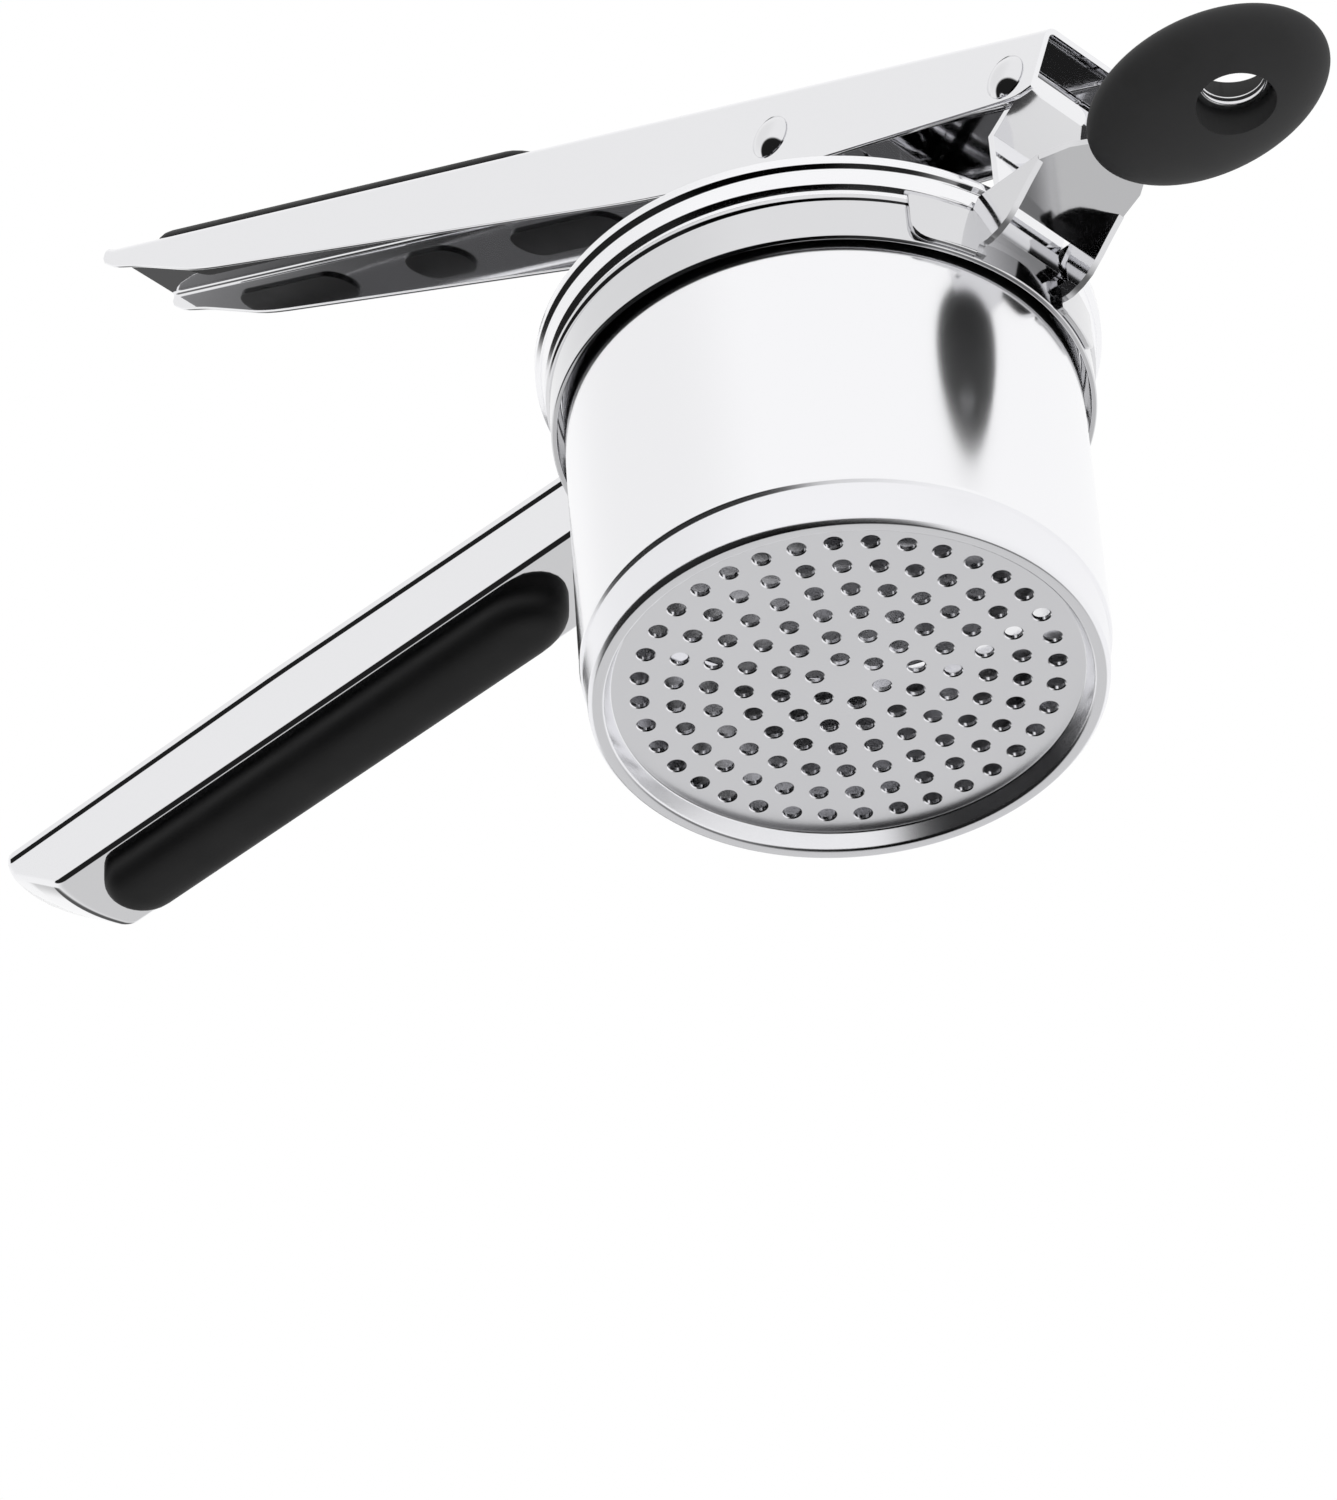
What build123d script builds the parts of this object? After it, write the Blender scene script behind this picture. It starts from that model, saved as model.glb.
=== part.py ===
from build123d import *
import math
import os

# Potato ricer, millimetres, +Z up. The origin is the centre of the foot ring that
# the basket stands on. +X runs from the basket to the knob, the handles run to -X,
# and Y = 0 is the plane of symmetry.

# ---------------------------------------------------------------- driving sizes
# Basket
BASKET_R = 44.0            # outside of the straight wall
BASKET_WALL = 0.9
BASKET_CREASE_Z = 8.4      # where the straight wall steps in above the foot
FOOT_R = 43.0              # outside of the foot at its lowest fillet
FOOT_INNER_R = 40.3
PLATE_Z = 3.0              # underside of the perforated plate
PLATE_T = 1.0
PLATE_EDGE_R = 38.6
RIM_SEAT_Z = 69.3          # underside of the step that hangs in the ring
RIM_TOP_Z = 76.3
RIM_R = 48.3
HOLE_R = 1.5
HOLE_RING_STEP = 5.75      # radius added by each ring of holes
HOLE_RINGS = 6
HOLES_PER_STEP = 6         # ring n holds n times this many holes

# Ring band
RING_IN_R = 45.2
RING_OUT_R = 46.2
RING_LOW_Z = 59.8
RING_TOP_Z = 69.0

# Sheet sizes shared by the brackets
SHEET = 1.2
GAP = 0.3                  # air between bodies that move past each other
RUN = 0.05                 # radial clearance of a turning pin

# Nose bracket and knob
NOSE_HALF_W = 10.5
NOSE_WEB_TOP = 72.6
NOSE_REAR_X = 50.4
TONGUE_HALF_W = 6.5
TONGUE_EYE_R = 9.2         # round end of the tongue, about the hanging hole
TAB_LOW_Z = 60.2
TAB_TOP_Z = 69.8
TAB_END_DEG = 28.0
KNOB_X = 89.0
KNOB_HALF_L = 22.6
KNOB_HALF_W = 16.4
KNOB_HALF_T = 6.7
CORE_HALF_L = 16.4
CORE_HALF_W = 10.8
CORE_T = 6.0
EYE_X = 94.4
KNOB_BORE_R = 7.3          # soft bore that leads to the steel eyelet
CORE_BORE_R = 8.5
EYE_IN_R = 5.2
EYE_OUT_R = 5.7
EYE_LIP_R = 6.7
EYE_LIP_T = 0.4

# Hinge (lever on strap) and pivot (plunger on lever)
HINGE_X = 54.9
HINGE_Z = 95.3
PIN_R = 3.0
BARREL_R = 4.2
STRAP_HALF_W = 8.2
STRAP_FACE_X = 50.0        # front face of the strap's upright run
STRAP_TILT = 38.0          # rise of the strap's upper run
STRAP_FOOT_Z = 66.4
HEAD_R = 4.1
HEAD_H = 1.8

# Lever, sized along its own length: u from its front edge to its tail, n up from
# the top face of its web
LEVER_TILT = 26.4          # opening of the lever as stored
LEVER_L = 261.8
LEVER_HALF_W = 9.5
LEVER_WALL = 1.0
HINGE_U = 7.2
HINGE_N = -8.8
PIVOT_U = 65.8
PIVOT_N = -10.0
LEVER_FRONT_N = -11.8
LEVER_DEEP_N = -17.3
LEVER_TAIL_N = -10.0
SLOT_W = 9.0
SLOTS = ((152.0, 30.0), (189.5, 16.5), (232.0, 32.0))    # centre u, length
GRIP_FRONT_U = 136.0
GRIP_TAIL_U = 252.0
GRIP_HALF_W = 8.4
GRIP_RISE = 3.4
CORE_PLATE_T = 1.2
KEY_DROP = 0.6             # how far the keys stand below the web

# Plunger
PLUNGER_LEAN = 2.66        # lean of the plunger about its pivot as stored
PLUNGER_L = 83.0           # pivot to the disc's pressing face
DISC_R = 40.2
DISC_T = 1.2
DISC_LIP = 3.0
LEG_HALF_W = 8.2
LEG_EAR_R = 7.0
LEG_FOOT_HALF_L = 19.0
DISC_RIVET_X = 12.0
DISC_RIVET_Y = 3.6
DISC_RIVET_R = 1.6

# Lower handle, sized along its own length: s from the ring end to the tip, h up
# from its flat underside
HANDLE_X = -50.0
HANDLE_Z = 64.2
HANDLE_TILT = 1.74
HANDLE_HALF_W = 9.5
HANDLE_RING_H = 13.7
HANDLE_MIDDLE_H = 14.7
HANDLE_TIP_H = 13.8
HANDLE_UNDER_L = 137.0
HANDLE_TOP_L = 150.5
TIP_BREAK_H = 10.0         # where the slanted tip turns upright
TIP_ROUND_R = 24.0         # plan radius of the bowed tip
TIP_CORNER_R = 2.4
BEAD = 0.8                 # how far the folded top edge stands out
BEAD_H = 1.6
PAD_START = 13.4
PAD_END = 128.8
PAD_HALF_W = 7.4
PAD_T = 4.8
PAD_ROUND = 2.6
WINDOW_INSET = 4.0
WINDOW_HALF_W = 5.4
TRAY_T = 3.0


# ---------------------------------------------------------------- helpers
def side_prism(points, half_width, middle_y=0.0):
    """Closed outline in the XZ plane, thickened along Y about middle_y."""
    outline = Polyline(*[Vector(x, 0, z) for x, z in points], close=True)
    return Pos(0, middle_y, 0) * extrude(make_face(outline), amount=half_width, dir=(0, 1, 0), both=True)


def turned(points):
    """Closed outline of (radius, z) points turned about the Z axis."""
    outline = Polyline(*[Vector(r, 0, z) for r, z in points], close=True)
    return revolve(make_face(outline), axis=Axis.Z)


def cross_cylinder(radius, half_length, x, z):
    """Cylinder along Y, centred on the plane of symmetry."""
    return Pos(x, 0, z) * Rot(90, 0, 0) * Cylinder(radius, 2 * half_length)


def turn_about(shape, x, z, degrees):
    """Turn a shape about an axis along +Y through (x, z)."""
    return Pos(x, 0, z) * Rot(0, degrees, 0) * Pos(-x, 0, -z) * shape


def both_sides(shape):
    """A shape and its mirror image in the plane of symmetry."""
    return shape + mirror(shape, about=Plane.XZ)


def slot_block(start_x, end_x, half_width, low_z, high_z):
    """Block with half-round ends that lies along X."""
    low_x, high_x = sorted((start_x, end_x))
    face = Pos((low_x + high_x) / 2, 0, low_z) * SlotOverall(high_x - low_x, 2 * half_width)
    return extrude(face, amount=high_z - low_z, dir=(0, 0, 1))


def dome_head(radius, height, face_y, x, z):
    """Domed rivet head that stands out from the plane y = face_y towards -Y."""
    ball_r = (radius ** 2 + height ** 2) / (2 * height)
    ball = Pos(x, face_y + ball_r - height, z) * Sphere(ball_r)
    keep = Pos(x, face_y - height / 2, z) * Box(3 * radius, height, 3 * radius)
    return ball & keep


def cross_rivet(shank_r, face_y, x, z):
    """Rivet along Y with a domed head outside each of two walls."""
    shank = cross_cylinder(shank_r, face_y, x, z)
    head = dome_head(HEAD_R, HEAD_H, -face_y, x, z)
    return shank + both_sides(head)


# ---------------------------------------------------------------- shared places
def lever_x(u):
    """X of a place u along the lever, with the lever lying level."""
    return HINGE_X + HINGE_U - u


def lever_z(n):
    """Z of a height n on the lever, with the lever lying level."""
    return HINGE_Z - HINGE_N + n


def lever_points(pairs):
    """(u, n) pairs as (x, z) with the lever lying level."""
    return [(lever_x(u), lever_z(n)) for u, n in pairs]


def pivot_as_stored():
    """(x, z) of the plunger's pivot with the lever open as stored."""
    dx = lever_x(PIVOT_U) - HINGE_X
    dz = lever_z(PIVOT_N) - HINGE_Z
    angle = math.radians(LEVER_TILT)
    x = HINGE_X + dx * math.cos(angle) + dz * math.sin(angle)
    z = HINGE_Z - dx * math.sin(angle) + dz * math.cos(angle)
    return x, z


def handle_points(pairs):
    """(s, h) pairs on the lower handle as (x, z) with the handle lying level."""
    return [(HANDLE_X - s, HANDLE_Z + h) for s, h in pairs]


def basket_room():
    """Space that the basket and ring take up, which the brackets stay out of."""
    return turned([
        (0, 40), (RING_OUT_R, 40), (RING_OUT_R, 69.8), (48.9, 73.4), (48.9, 95), (0, 95),
    ])


# ---------------------------------------------------------------- basket
def basket():
    """Drawn cup with a stepped hanging rim, a foot ring and a perforated base."""
    inner = BASKET_R - BASKET_WALL
    profile = [
        (0, PLATE_Z), (PLATE_EDGE_R, PLATE_Z), (FOOT_INNER_R, 0), (42.3, 0), (FOOT_R, 0.7),
        (43.5, BASKET_CREASE_Z - 0.6), (BASKET_R, BASKET_CREASE_Z), (BASKET_R, RIM_SEAT_Z),
        (45.9, RIM_SEAT_Z), (46.1, 70.3), (47.9, 73.8), (RIM_R, 74.5), (RIM_R, RIM_TOP_Z),
        (47.4, RIM_TOP_Z), (47.2, 75.0), (45.3, 71.0), (45.0, 70.2), (inner, 70.2),
        (inner, PLATE_Z + 2.4), (42.2, PLATE_Z + PLATE_T), (0, PLATE_Z + PLATE_T),
    ]
    cup = turned(profile)
    holes = []
    for ring in range(1, HOLE_RINGS + 1):
        count = ring * HOLES_PER_STEP
        radius = ring * HOLE_RING_STEP
        for index in range(count):
            angle = math.radians(360 * index / count)
            place = Pos(radius * math.cos(angle), radius * math.sin(angle), PLATE_Z + PLATE_T / 2)
            holes.append(place * Cylinder(HOLE_R, 3 * PLATE_T))
    return cup - holes


# ---------------------------------------------------------------- frame
def ring_band():
    """Rolled band that carries the basket, with its lower edge eased."""
    ease = 0.3
    return turned([
        (RING_IN_R, RING_LOW_Z), (RING_OUT_R - ease, RING_LOW_Z), (RING_OUT_R, RING_LOW_Z + ease),
        (RING_OUT_R, RING_TOP_Z), (RING_IN_R, RING_TOP_Z),
    ])


def ring_tab(start_deg, end_deg, low_z, high_z):
    """Piece of sheet that lies on the outside of the ring between two angles."""
    tube = Cylinder(RING_OUT_R + SHEET, high_z - low_z) - Cylinder(RING_OUT_R, high_z - low_z)
    reach = 2 * RING_OUT_R
    start = math.radians(start_deg)
    end = math.radians(end_deg)
    wedge = Polyline(
        (0, 0), (reach * math.cos(start), reach * math.sin(start)),
        (reach * math.cos(end), reach * math.sin(end)), close=True,
    )
    cutter = extrude(make_face(wedge), amount=high_z - low_z, both=True)
    return Pos(0, 0, (low_z + high_z) / 2) * (tube & cutter)


def nose_bracket():
    """Folded sheet from the ring to the knob: web, two tapering flanges, two tabs."""
    web_low = NOSE_WEB_TOP - SHEET
    plan = Polyline(
        (NOSE_REAR_X, NOSE_HALF_W), (60, NOSE_HALF_W), (66, 8.6), (69, TONGUE_HALF_W),
        (EYE_X, TONGUE_HALF_W), (EYE_X, -TONGUE_HALF_W), (69, -TONGUE_HALF_W),
        (66, -8.6), (60, -NOSE_HALF_W), (NOSE_REAR_X, -NOSE_HALF_W), close=True,
    )
    eye = Pos(EYE_X, 0)
    face = make_face(plan) + eye * Circle(TONGUE_EYE_R) - eye * Circle(EYE_OUT_R)
    web = Pos(0, 0, web_low) * extrude(face, amount=SHEET, dir=(0, 0, 1))
    lower_edge = [
        (60.6, web_low), (57.6, 68.6), (55.2, 66.2), (52.6, 63.9), (50.4, 62.8), (48.0, 62.2),
        (45.6, 62.4), (43.0, 63.4),
    ]
    outline = [(43.0, NOSE_WEB_TOP), (60.6, NOSE_WEB_TOP)] + lower_edge
    flange = side_prism(outline, SHEET / 2, -(NOSE_HALF_W - SHEET / 2))
    start = math.degrees(math.asin((NOSE_HALF_W - SHEET) / (RING_OUT_R + SHEET)))
    tab = ring_tab(-TAB_END_DEG, -start, TAB_LOW_Z, TAB_TOP_Z)
    corner = Pos(42, -22, TAB_LOW_Z) * Box(9, 8, 3)
    return web + both_sides(flange - basket_room()) + both_sides(tab - corner)


def hinge_strap():
    """Strap from the ring's front, up outside the rim, then rolled round the hinge pin."""
    tilt = math.radians(STRAP_TILT)
    away = (math.sin(tilt), -math.cos(tilt))
    along = (math.cos(tilt), math.sin(tilt))
    outer = (HINGE_X + BARREL_R * away[0], HINGE_Z + BARREL_R * away[1])
    thin = BARREL_R - PIN_R - RUN
    inner = (outer[0] - thin * away[0], outer[1] - thin * away[1])
    run_out = (outer[0] - STRAP_FACE_X) / along[0]
    bend = (STRAP_FACE_X, outer[1] - run_out * along[1])
    back_x = STRAP_FACE_X - SHEET
    run_in = (inner[0] - back_x) / along[0]
    back_bend = (back_x, inner[1] - run_in * along[1])
    outline = [
        outer, bend, (STRAP_FACE_X, 74.0), (RING_OUT_R + SHEET, 69.8), (RING_OUT_R + SHEET, STRAP_FOOT_Z),
        (RING_OUT_R - 1.2, STRAP_FOOT_Z), (RING_OUT_R - 1.2, 69.8), (back_x, 73.9), back_bend, inner,
    ]
    strap = side_prism(outline, STRAP_HALF_W)
    barrel = cross_cylinder(BARREL_R, STRAP_HALF_W, HINGE_X, HINGE_Z)
    bore = cross_cylinder(PIN_R + RUN, 2 * STRAP_HALF_W, HINGE_X, HINGE_Z)
    return strap - basket_room() + barrel - bore


def bowed_plan(end_x, inset):
    """Plan of the handle from the basket's axis to a bowed end at end_x."""
    half_w = HANDLE_HALF_W - inset
    round_r = TIP_ROUND_R - inset
    arc_x = end_x + round_r
    strip = Pos(arc_x / 2, 0) * Rectangle(-arc_x, 2 * half_w)
    bow = Pos(arc_x, 0) * Circle(round_r) & Pos(end_x, 0) * Rectangle(2 * round_r, 2 * half_w)
    plan = strip + bow
    return fillet(plan.vertices().sort_by(Axis.X)[:2], TIP_CORNER_R - inset)


def tip_mould(inset):
    """Room inside the handle's outline: parallel sides, a slanted tip, upright at the top."""
    slant = math.atan2(TIP_BREAK_H, HANDLE_TOP_L - HANDLE_UNDER_L)
    rise = (-math.cos(slant), 0, math.sin(slant))
    low_plan = bowed_plan(HANDLE_X - HANDLE_UNDER_L + inset / math.sin(slant), inset)
    top_plan = bowed_plan(HANDLE_X - HANDLE_TOP_L + inset, inset)
    slanted = extrude(low_plan, amount=30, dir=rise, both=True)
    upright = extrude(top_plan, amount=30, dir=(0, 0, 1), both=True)
    return Pos(0, 0, HANDLE_Z) * (slanted & upright)


def lower_handle():
    """Open-topped channel with folded top edges, a slanted bowed tip and a grip window."""
    inside = HANDLE_HALF_W - SHEET
    start = -5.0
    middle = HANDLE_TOP_L / 2
    far = HANDLE_TOP_L + 1
    top = [(far, HANDLE_TIP_H), (middle, HANDLE_MIDDLE_H), (start, HANDLE_RING_H)]
    outer = side_prism(handle_points([(start, 0), (far, 0)] + top), HANDLE_HALF_W)
    hollow = side_prism(handle_points([
        (start - 9, SHEET), (far, SHEET), (far, 18), (start - 9, 18),
    ]), inside)
    bead_end = HANDLE_TOP_L - 2
    bead = side_prism(handle_points([
        (start, HANDLE_RING_H - BEAD_H), (middle, HANDLE_MIDDLE_H - BEAD_H),
        (bead_end, HANDLE_TIP_H - BEAD_H), (bead_end, HANDLE_TIP_H), (middle, HANDLE_MIDDLE_H),
        (start, HANDLE_RING_H),
    ]), (SHEET + BEAD) / 2, -(inside + (SHEET + BEAD) / 2))
    low_x = HANDLE_X - PAD_START - WINDOW_INSET
    end_x = HANDLE_X - PAD_END + WINDOW_INSET
    window = slot_block(low_x, end_x, WINDOW_HALF_W, HANDLE_Z - 1, HANDLE_Z + SHEET + 1)
    shell = (outer & tip_mould(0)) - (hollow & tip_mould(SHEET))
    channel = turn_about(shell - window + both_sides(bead), HANDLE_X, HANDLE_Z, HANDLE_TILT)
    start_deg = 180 + math.degrees(math.asin(inside / (RING_OUT_R + SHEET)))
    tab = ring_tab(start_deg, start_deg + 8, HANDLE_Z, TAB_TOP_Z)
    return channel - basket_room() + both_sides(tab)


def lower_grip():
    """Soft pad under the lower handle, with a neck that fills the window."""
    start_x = HANDLE_X - PAD_START
    end_x = HANDLE_X - PAD_END
    pad = slot_block(start_x, end_x, PAD_HALF_W, HANDLE_Z - PAD_T, HANDLE_Z)
    pad = fillet(pad.faces().sort_by(Axis.Z)[0].edges(), PAD_ROUND)
    neck = slot_block(start_x - WINDOW_INSET, end_x + WINDOW_INSET, WINDOW_HALF_W, HANDLE_Z, HANDLE_Z + SHEET)
    return turn_about(pad + neck, HANDLE_X, HANDLE_Z, HANDLE_TILT)


def lower_grip_core():
    """Hard tray inside the channel that the soft pad is moulded to."""
    start_x = HANDLE_X - PAD_START
    end_x = HANDLE_X - PAD_END
    low = HANDLE_Z + SHEET
    half_w = HANDLE_HALF_W - SHEET
    tray = slot_block(start_x, end_x, half_w, low, low + TRAY_T)
    dish = slot_block(start_x - 1.5, end_x + 1.5, half_w - 1.5, low + 1.2, low + TRAY_T + 1)
    return turn_about(tray - dish, HANDLE_X, HANDLE_Z, HANDLE_TILT)


def eye_bore(radius):
    """Upright cutter about the hanging hole."""
    return Pos(EYE_X, 0, NOSE_WEB_TOP) * Cylinder(radius, 40)


def core_block():
    """Hard oval inside the knob, before the tongue and the bore are taken out."""
    middle_z = NOSE_WEB_TOP - SHEET / 2
    oval = Ellipse(CORE_HALF_L, CORE_HALF_W)
    return Pos(KNOB_X, 0, middle_z) * extrude(oval, amount=CORE_T / 2, both=True)


def knob_core():
    """Hard oval inside the knob, slotted for the tongue and bored for the hanging hole."""
    return core_block() - eye_bore(CORE_BORE_R) - nose_bracket()


def knob():
    """Soft pebble-shaped knob moulded over its core and the tongue, with a through bore."""
    middle_z = NOSE_WEB_TOP - SHEET / 2
    pebble = scale(Sphere(1.0), by=(KNOB_HALF_L, KNOB_HALF_W, KNOB_HALF_T))
    body = Pos(KNOB_X, 0, middle_z) * pebble
    return body - knob_core() - eye_bore(KNOB_BORE_R) - nose_bracket()


def knob_eyelet():
    """Steel eyelet rolled through the tongue's hole, with a lip on each face."""
    middle_z = NOSE_WEB_TOP - SHEET / 2
    tube = Cylinder(EYE_OUT_R, SHEET)
    lip = Pos(0, 0, (SHEET + EYE_LIP_T) / 2) * Cylinder(EYE_LIP_R, EYE_LIP_T)
    body = tube + lip + mirror(lip, about=Plane.XY)
    return Pos(EYE_X, 0, middle_z) * (body - Cylinder(EYE_IN_R, 3 * SHEET))


# ---------------------------------------------------------------- lever
def lever():
    """Channel that opens downward, deepest past the pivot, with a pointed tail and slots."""
    tail_start = LEVER_L - 33
    outline = lever_points([
        (0, 0), (0, LEVER_FRONT_N), (3.2, -13.4), (9, -13.9), (58, LEVER_DEEP_N), (96, LEVER_DEEP_N),
        (tail_start, LEVER_TAIL_N), (LEVER_L - 12.6, -5.9), (LEVER_L - 3.6, -3.4), (LEVER_L, 0),
    ])
    hollow = lever_points([
        (-5, -LEVER_WALL), (-5, -30), (LEVER_L + 5, -30), (LEVER_L + 5, -LEVER_WALL),
    ])
    channel = side_prism(outline, LEVER_HALF_W) - side_prism(hollow, LEVER_HALF_W - LEVER_WALL)
    for centre, length in SLOTS:
        start_x = lever_x(centre - length / 2)
        end_x = lever_x(centre + length / 2)
        channel -= slot_block(start_x, end_x, SLOT_W / 2, lever_z(-3), lever_z(1))
    for u, n in ((HINGE_U, HINGE_N), (PIVOT_U, PIVOT_N)):
        channel -= cross_cylinder(PIN_R, 2 * LEVER_HALF_W, lever_x(u), lever_z(n))
    return turn_about(channel, HINGE_X, HINGE_Z, LEVER_TILT)


def lever_grip_core():
    """Hard plate on the web with three keys that fill the slots."""
    start_x = lever_x(GRIP_FRONT_U + 6)
    end_x = lever_x(GRIP_TAIL_U - 2)
    core = slot_block(start_x, end_x, GRIP_HALF_W - 2.0, lever_z(0), lever_z(CORE_PLATE_T))
    for centre, length in SLOTS:
        key_start = lever_x(centre - length / 2)
        key_end = lever_x(centre + length / 2)
        core += slot_block(key_start, key_end, SLOT_W / 2, lever_z(-LEVER_WALL - KEY_DROP), lever_z(0))
    return turn_about(core, HINGE_X, HINGE_Z, LEVER_TILT)


def lever_grip():
    """Soft pad along the back of the lever, thin in front and full at the tail."""
    outline = lever_points([
        (GRIP_FRONT_U, 0), (GRIP_FRONT_U + 4, 1.8), (GRIP_FRONT_U + 26, GRIP_RISE - 0.4),
        (GRIP_TAIL_U - 30, GRIP_RISE), (GRIP_TAIL_U - 4, GRIP_RISE - 0.6), (GRIP_TAIL_U, 0),
    ])
    pad = side_prism(outline, GRIP_HALF_W)
    plan = slot_block(lever_x(GRIP_FRONT_U), lever_x(GRIP_TAIL_U), GRIP_HALF_W, lever_z(-1), lever_z(9))
    pad = turn_about(pad & plan, HINGE_X, HINGE_Z, LEVER_TILT)
    return pad - lever_grip_core()


def hinge_rivet():
    """Rivet that holds the lever on the strap's barrel."""
    return turn_about(cross_rivet(PIN_R, LEVER_HALF_W, HINGE_X, HINGE_Z), HINGE_X, HINGE_Z, LEVER_TILT)


def plunger_rivet():
    """Rivet that the plunger swings on."""
    rivet = cross_rivet(PIN_R, LEVER_HALF_W, lever_x(PIVOT_U), lever_z(PIVOT_N))
    return turn_about(rivet, HINGE_X, HINGE_Z, LEVER_TILT)


# ---------------------------------------------------------------- plunger
# Each plunger piece is made upright, hanging from its pivot, and is then leaned.
def leaned(shape):
    """Lean an upright plunger piece about the stored pivot."""
    x, z = pivot_as_stored()
    return turn_about(shape, x, z, PLUNGER_LEAN)


def plunger_bracket():
    """Folded sheet: two tapering legs on the pivot and a foot on the disc."""
    x, z = pivot_as_stored()
    foot_z = z - PLUNGER_L + DISC_T
    ear_low = z - LEG_EAR_R / 2
    outline = [
        (x - LEG_EAR_R, z), (x - LEG_EAR_R, ear_low), (x - LEG_FOOT_HALF_L + 5, foot_z + 14),
        (x - LEG_FOOT_HALF_L, foot_z), (x + LEG_FOOT_HALF_L, foot_z),
        (x + LEG_FOOT_HALF_L - 5, foot_z + 14), (x + LEG_EAR_R, ear_low), (x + LEG_EAR_R, z),
    ]
    body = side_prism(outline, LEG_HALF_W) + cross_cylinder(LEG_EAR_R, LEG_HALF_W, x, z)
    room = Pos(x, 0, foot_z + SHEET + 60) * Box(90, 2 * (LEG_HALF_W - SHEET), 120)
    body = body - room - cross_cylinder(PIN_R + RUN, 2 * LEG_HALF_W, x, z)
    for place in disc_rivet_places(x):
        body -= Pos(place[0], place[1], foot_z) * Cylinder(DISC_RIVET_R, 6)
    return leaned(body)


def disc_rivet_places(x):
    """(x, y) of the rivets that hold the foot to the disc."""
    return [(x + side * DISC_RIVET_X, row * DISC_RIVET_Y) for side in (-1, 1) for row in (-1, 1)]


def plunger_disc():
    """Pressing disc: a shallow pan with an upturned lip."""
    x, z = pivot_as_stored()
    low = z - PLUNGER_L
    height = DISC_T + DISC_LIP
    pan = Pos(x, 0, low + height / 2) * Cylinder(DISC_R, height)
    pan = fillet(pan.faces().sort_by(Axis.Z)[0].edges(), 1.0)
    pan -= Pos(x, 0, low + DISC_T + DISC_LIP) * Cylinder(DISC_R - DISC_T, 2 * DISC_LIP)
    for place in disc_rivet_places(x):
        pan -= Pos(place[0], place[1], low) * Cylinder(DISC_RIVET_R, 6)
    return leaned(pan)


def disc_rivets():
    """Four rivets, flush with the pressing face and headed above the foot."""
    x, z = pivot_as_stored()
    low = z - PLUNGER_L
    stack = DISC_T + SHEET
    rivets = []
    for px, py in disc_rivet_places(x):
        shank = Pos(px, py, low + stack / 2) * Cylinder(DISC_RIVET_R, stack)
        head = Pos(px, py, low + stack + 0.5) * Cylinder(DISC_RIVET_R + 1.0, 1.0)
        rivets.append(leaned(shank + head))
    return Compound(rivets)


def pivot_sleeve():
    """Spacer tube on the pivot rivet that keeps the two legs apart."""
    x, z = pivot_as_stored()
    half_length = LEG_HALF_W - SHEET
    tube = cross_cylinder(PIN_R + 1.6, half_length, x, z) - cross_cylinder(PIN_R + RUN, 20, x, z)
    return leaned(tube)


# ---------------------------------------------------------------- write the files
NODES = (
    basket, ring_band, nose_bracket, hinge_strap, lower_handle, lower_grip, lower_grip_core,
    knob, knob_core, knob_eyelet, lever, lever_grip, lever_grip_core, hinge_rivet,
    plunger_rivet, plunger_bracket, plunger_disc, disc_rivets, pivot_sleeve,
)

os.makedirs("parts", exist_ok=True)
for make in NODES:
    export_step(make(), f"parts/{make.__name__}.step")

pivot_x, pivot_z = pivot_as_stored()
print(f"hinge  x {HINGE_X:.3f} z {HINGE_Z:.3f}")
print(f"pivot  x {pivot_x:.3f} z {pivot_z:.3f}")
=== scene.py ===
"""Potato ricer: a perforated cup hung in a ring, a pressing lever, a handle and a knob.

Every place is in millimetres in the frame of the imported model, with +Z up the cup's
axis and +X from the cup to the knob. The places become metres where a mesh is made.
"""

import logging
import math
from dataclasses import dataclass
from enum import Enum
from typing import Optional, Sequence

import bmesh
import bpy
from mathutils import Matrix, Vector


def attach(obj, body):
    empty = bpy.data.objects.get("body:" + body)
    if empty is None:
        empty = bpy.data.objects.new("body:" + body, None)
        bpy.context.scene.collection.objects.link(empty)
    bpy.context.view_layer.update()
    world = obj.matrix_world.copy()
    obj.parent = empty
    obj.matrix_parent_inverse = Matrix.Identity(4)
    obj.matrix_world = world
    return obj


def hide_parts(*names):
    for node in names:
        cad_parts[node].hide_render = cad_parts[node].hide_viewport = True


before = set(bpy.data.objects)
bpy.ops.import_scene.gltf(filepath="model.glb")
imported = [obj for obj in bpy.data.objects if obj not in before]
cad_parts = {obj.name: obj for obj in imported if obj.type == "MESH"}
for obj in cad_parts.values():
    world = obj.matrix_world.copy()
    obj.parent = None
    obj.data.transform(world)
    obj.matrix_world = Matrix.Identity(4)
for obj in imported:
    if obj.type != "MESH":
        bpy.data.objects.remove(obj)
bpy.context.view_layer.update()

log = logging.getLogger("ricer")

MM = 0.001                 # metres in a millimetre
SHARP_DEG = 34.0           # faces that meet at more than this keep a crisp edge
MERGE = 0.0008             # points closer than this, in millimetres, become one

Pair = tuple[float, float]
Triple = tuple[float, float, float]
Ring = list[Vector]


class Body(Enum):
    """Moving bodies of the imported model."""

    FRAME = "frame"
    BASKET = "basket"
    LEVER = "lever"
    PLUNGER = "plunger"


class Slot(Enum):
    """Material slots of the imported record."""

    STEEL = "polished_steel"
    RIVET = "bright_rivet_steel"
    SOFT = "black_soft_grip"
    HARD = "black_hard_plastic"


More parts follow.
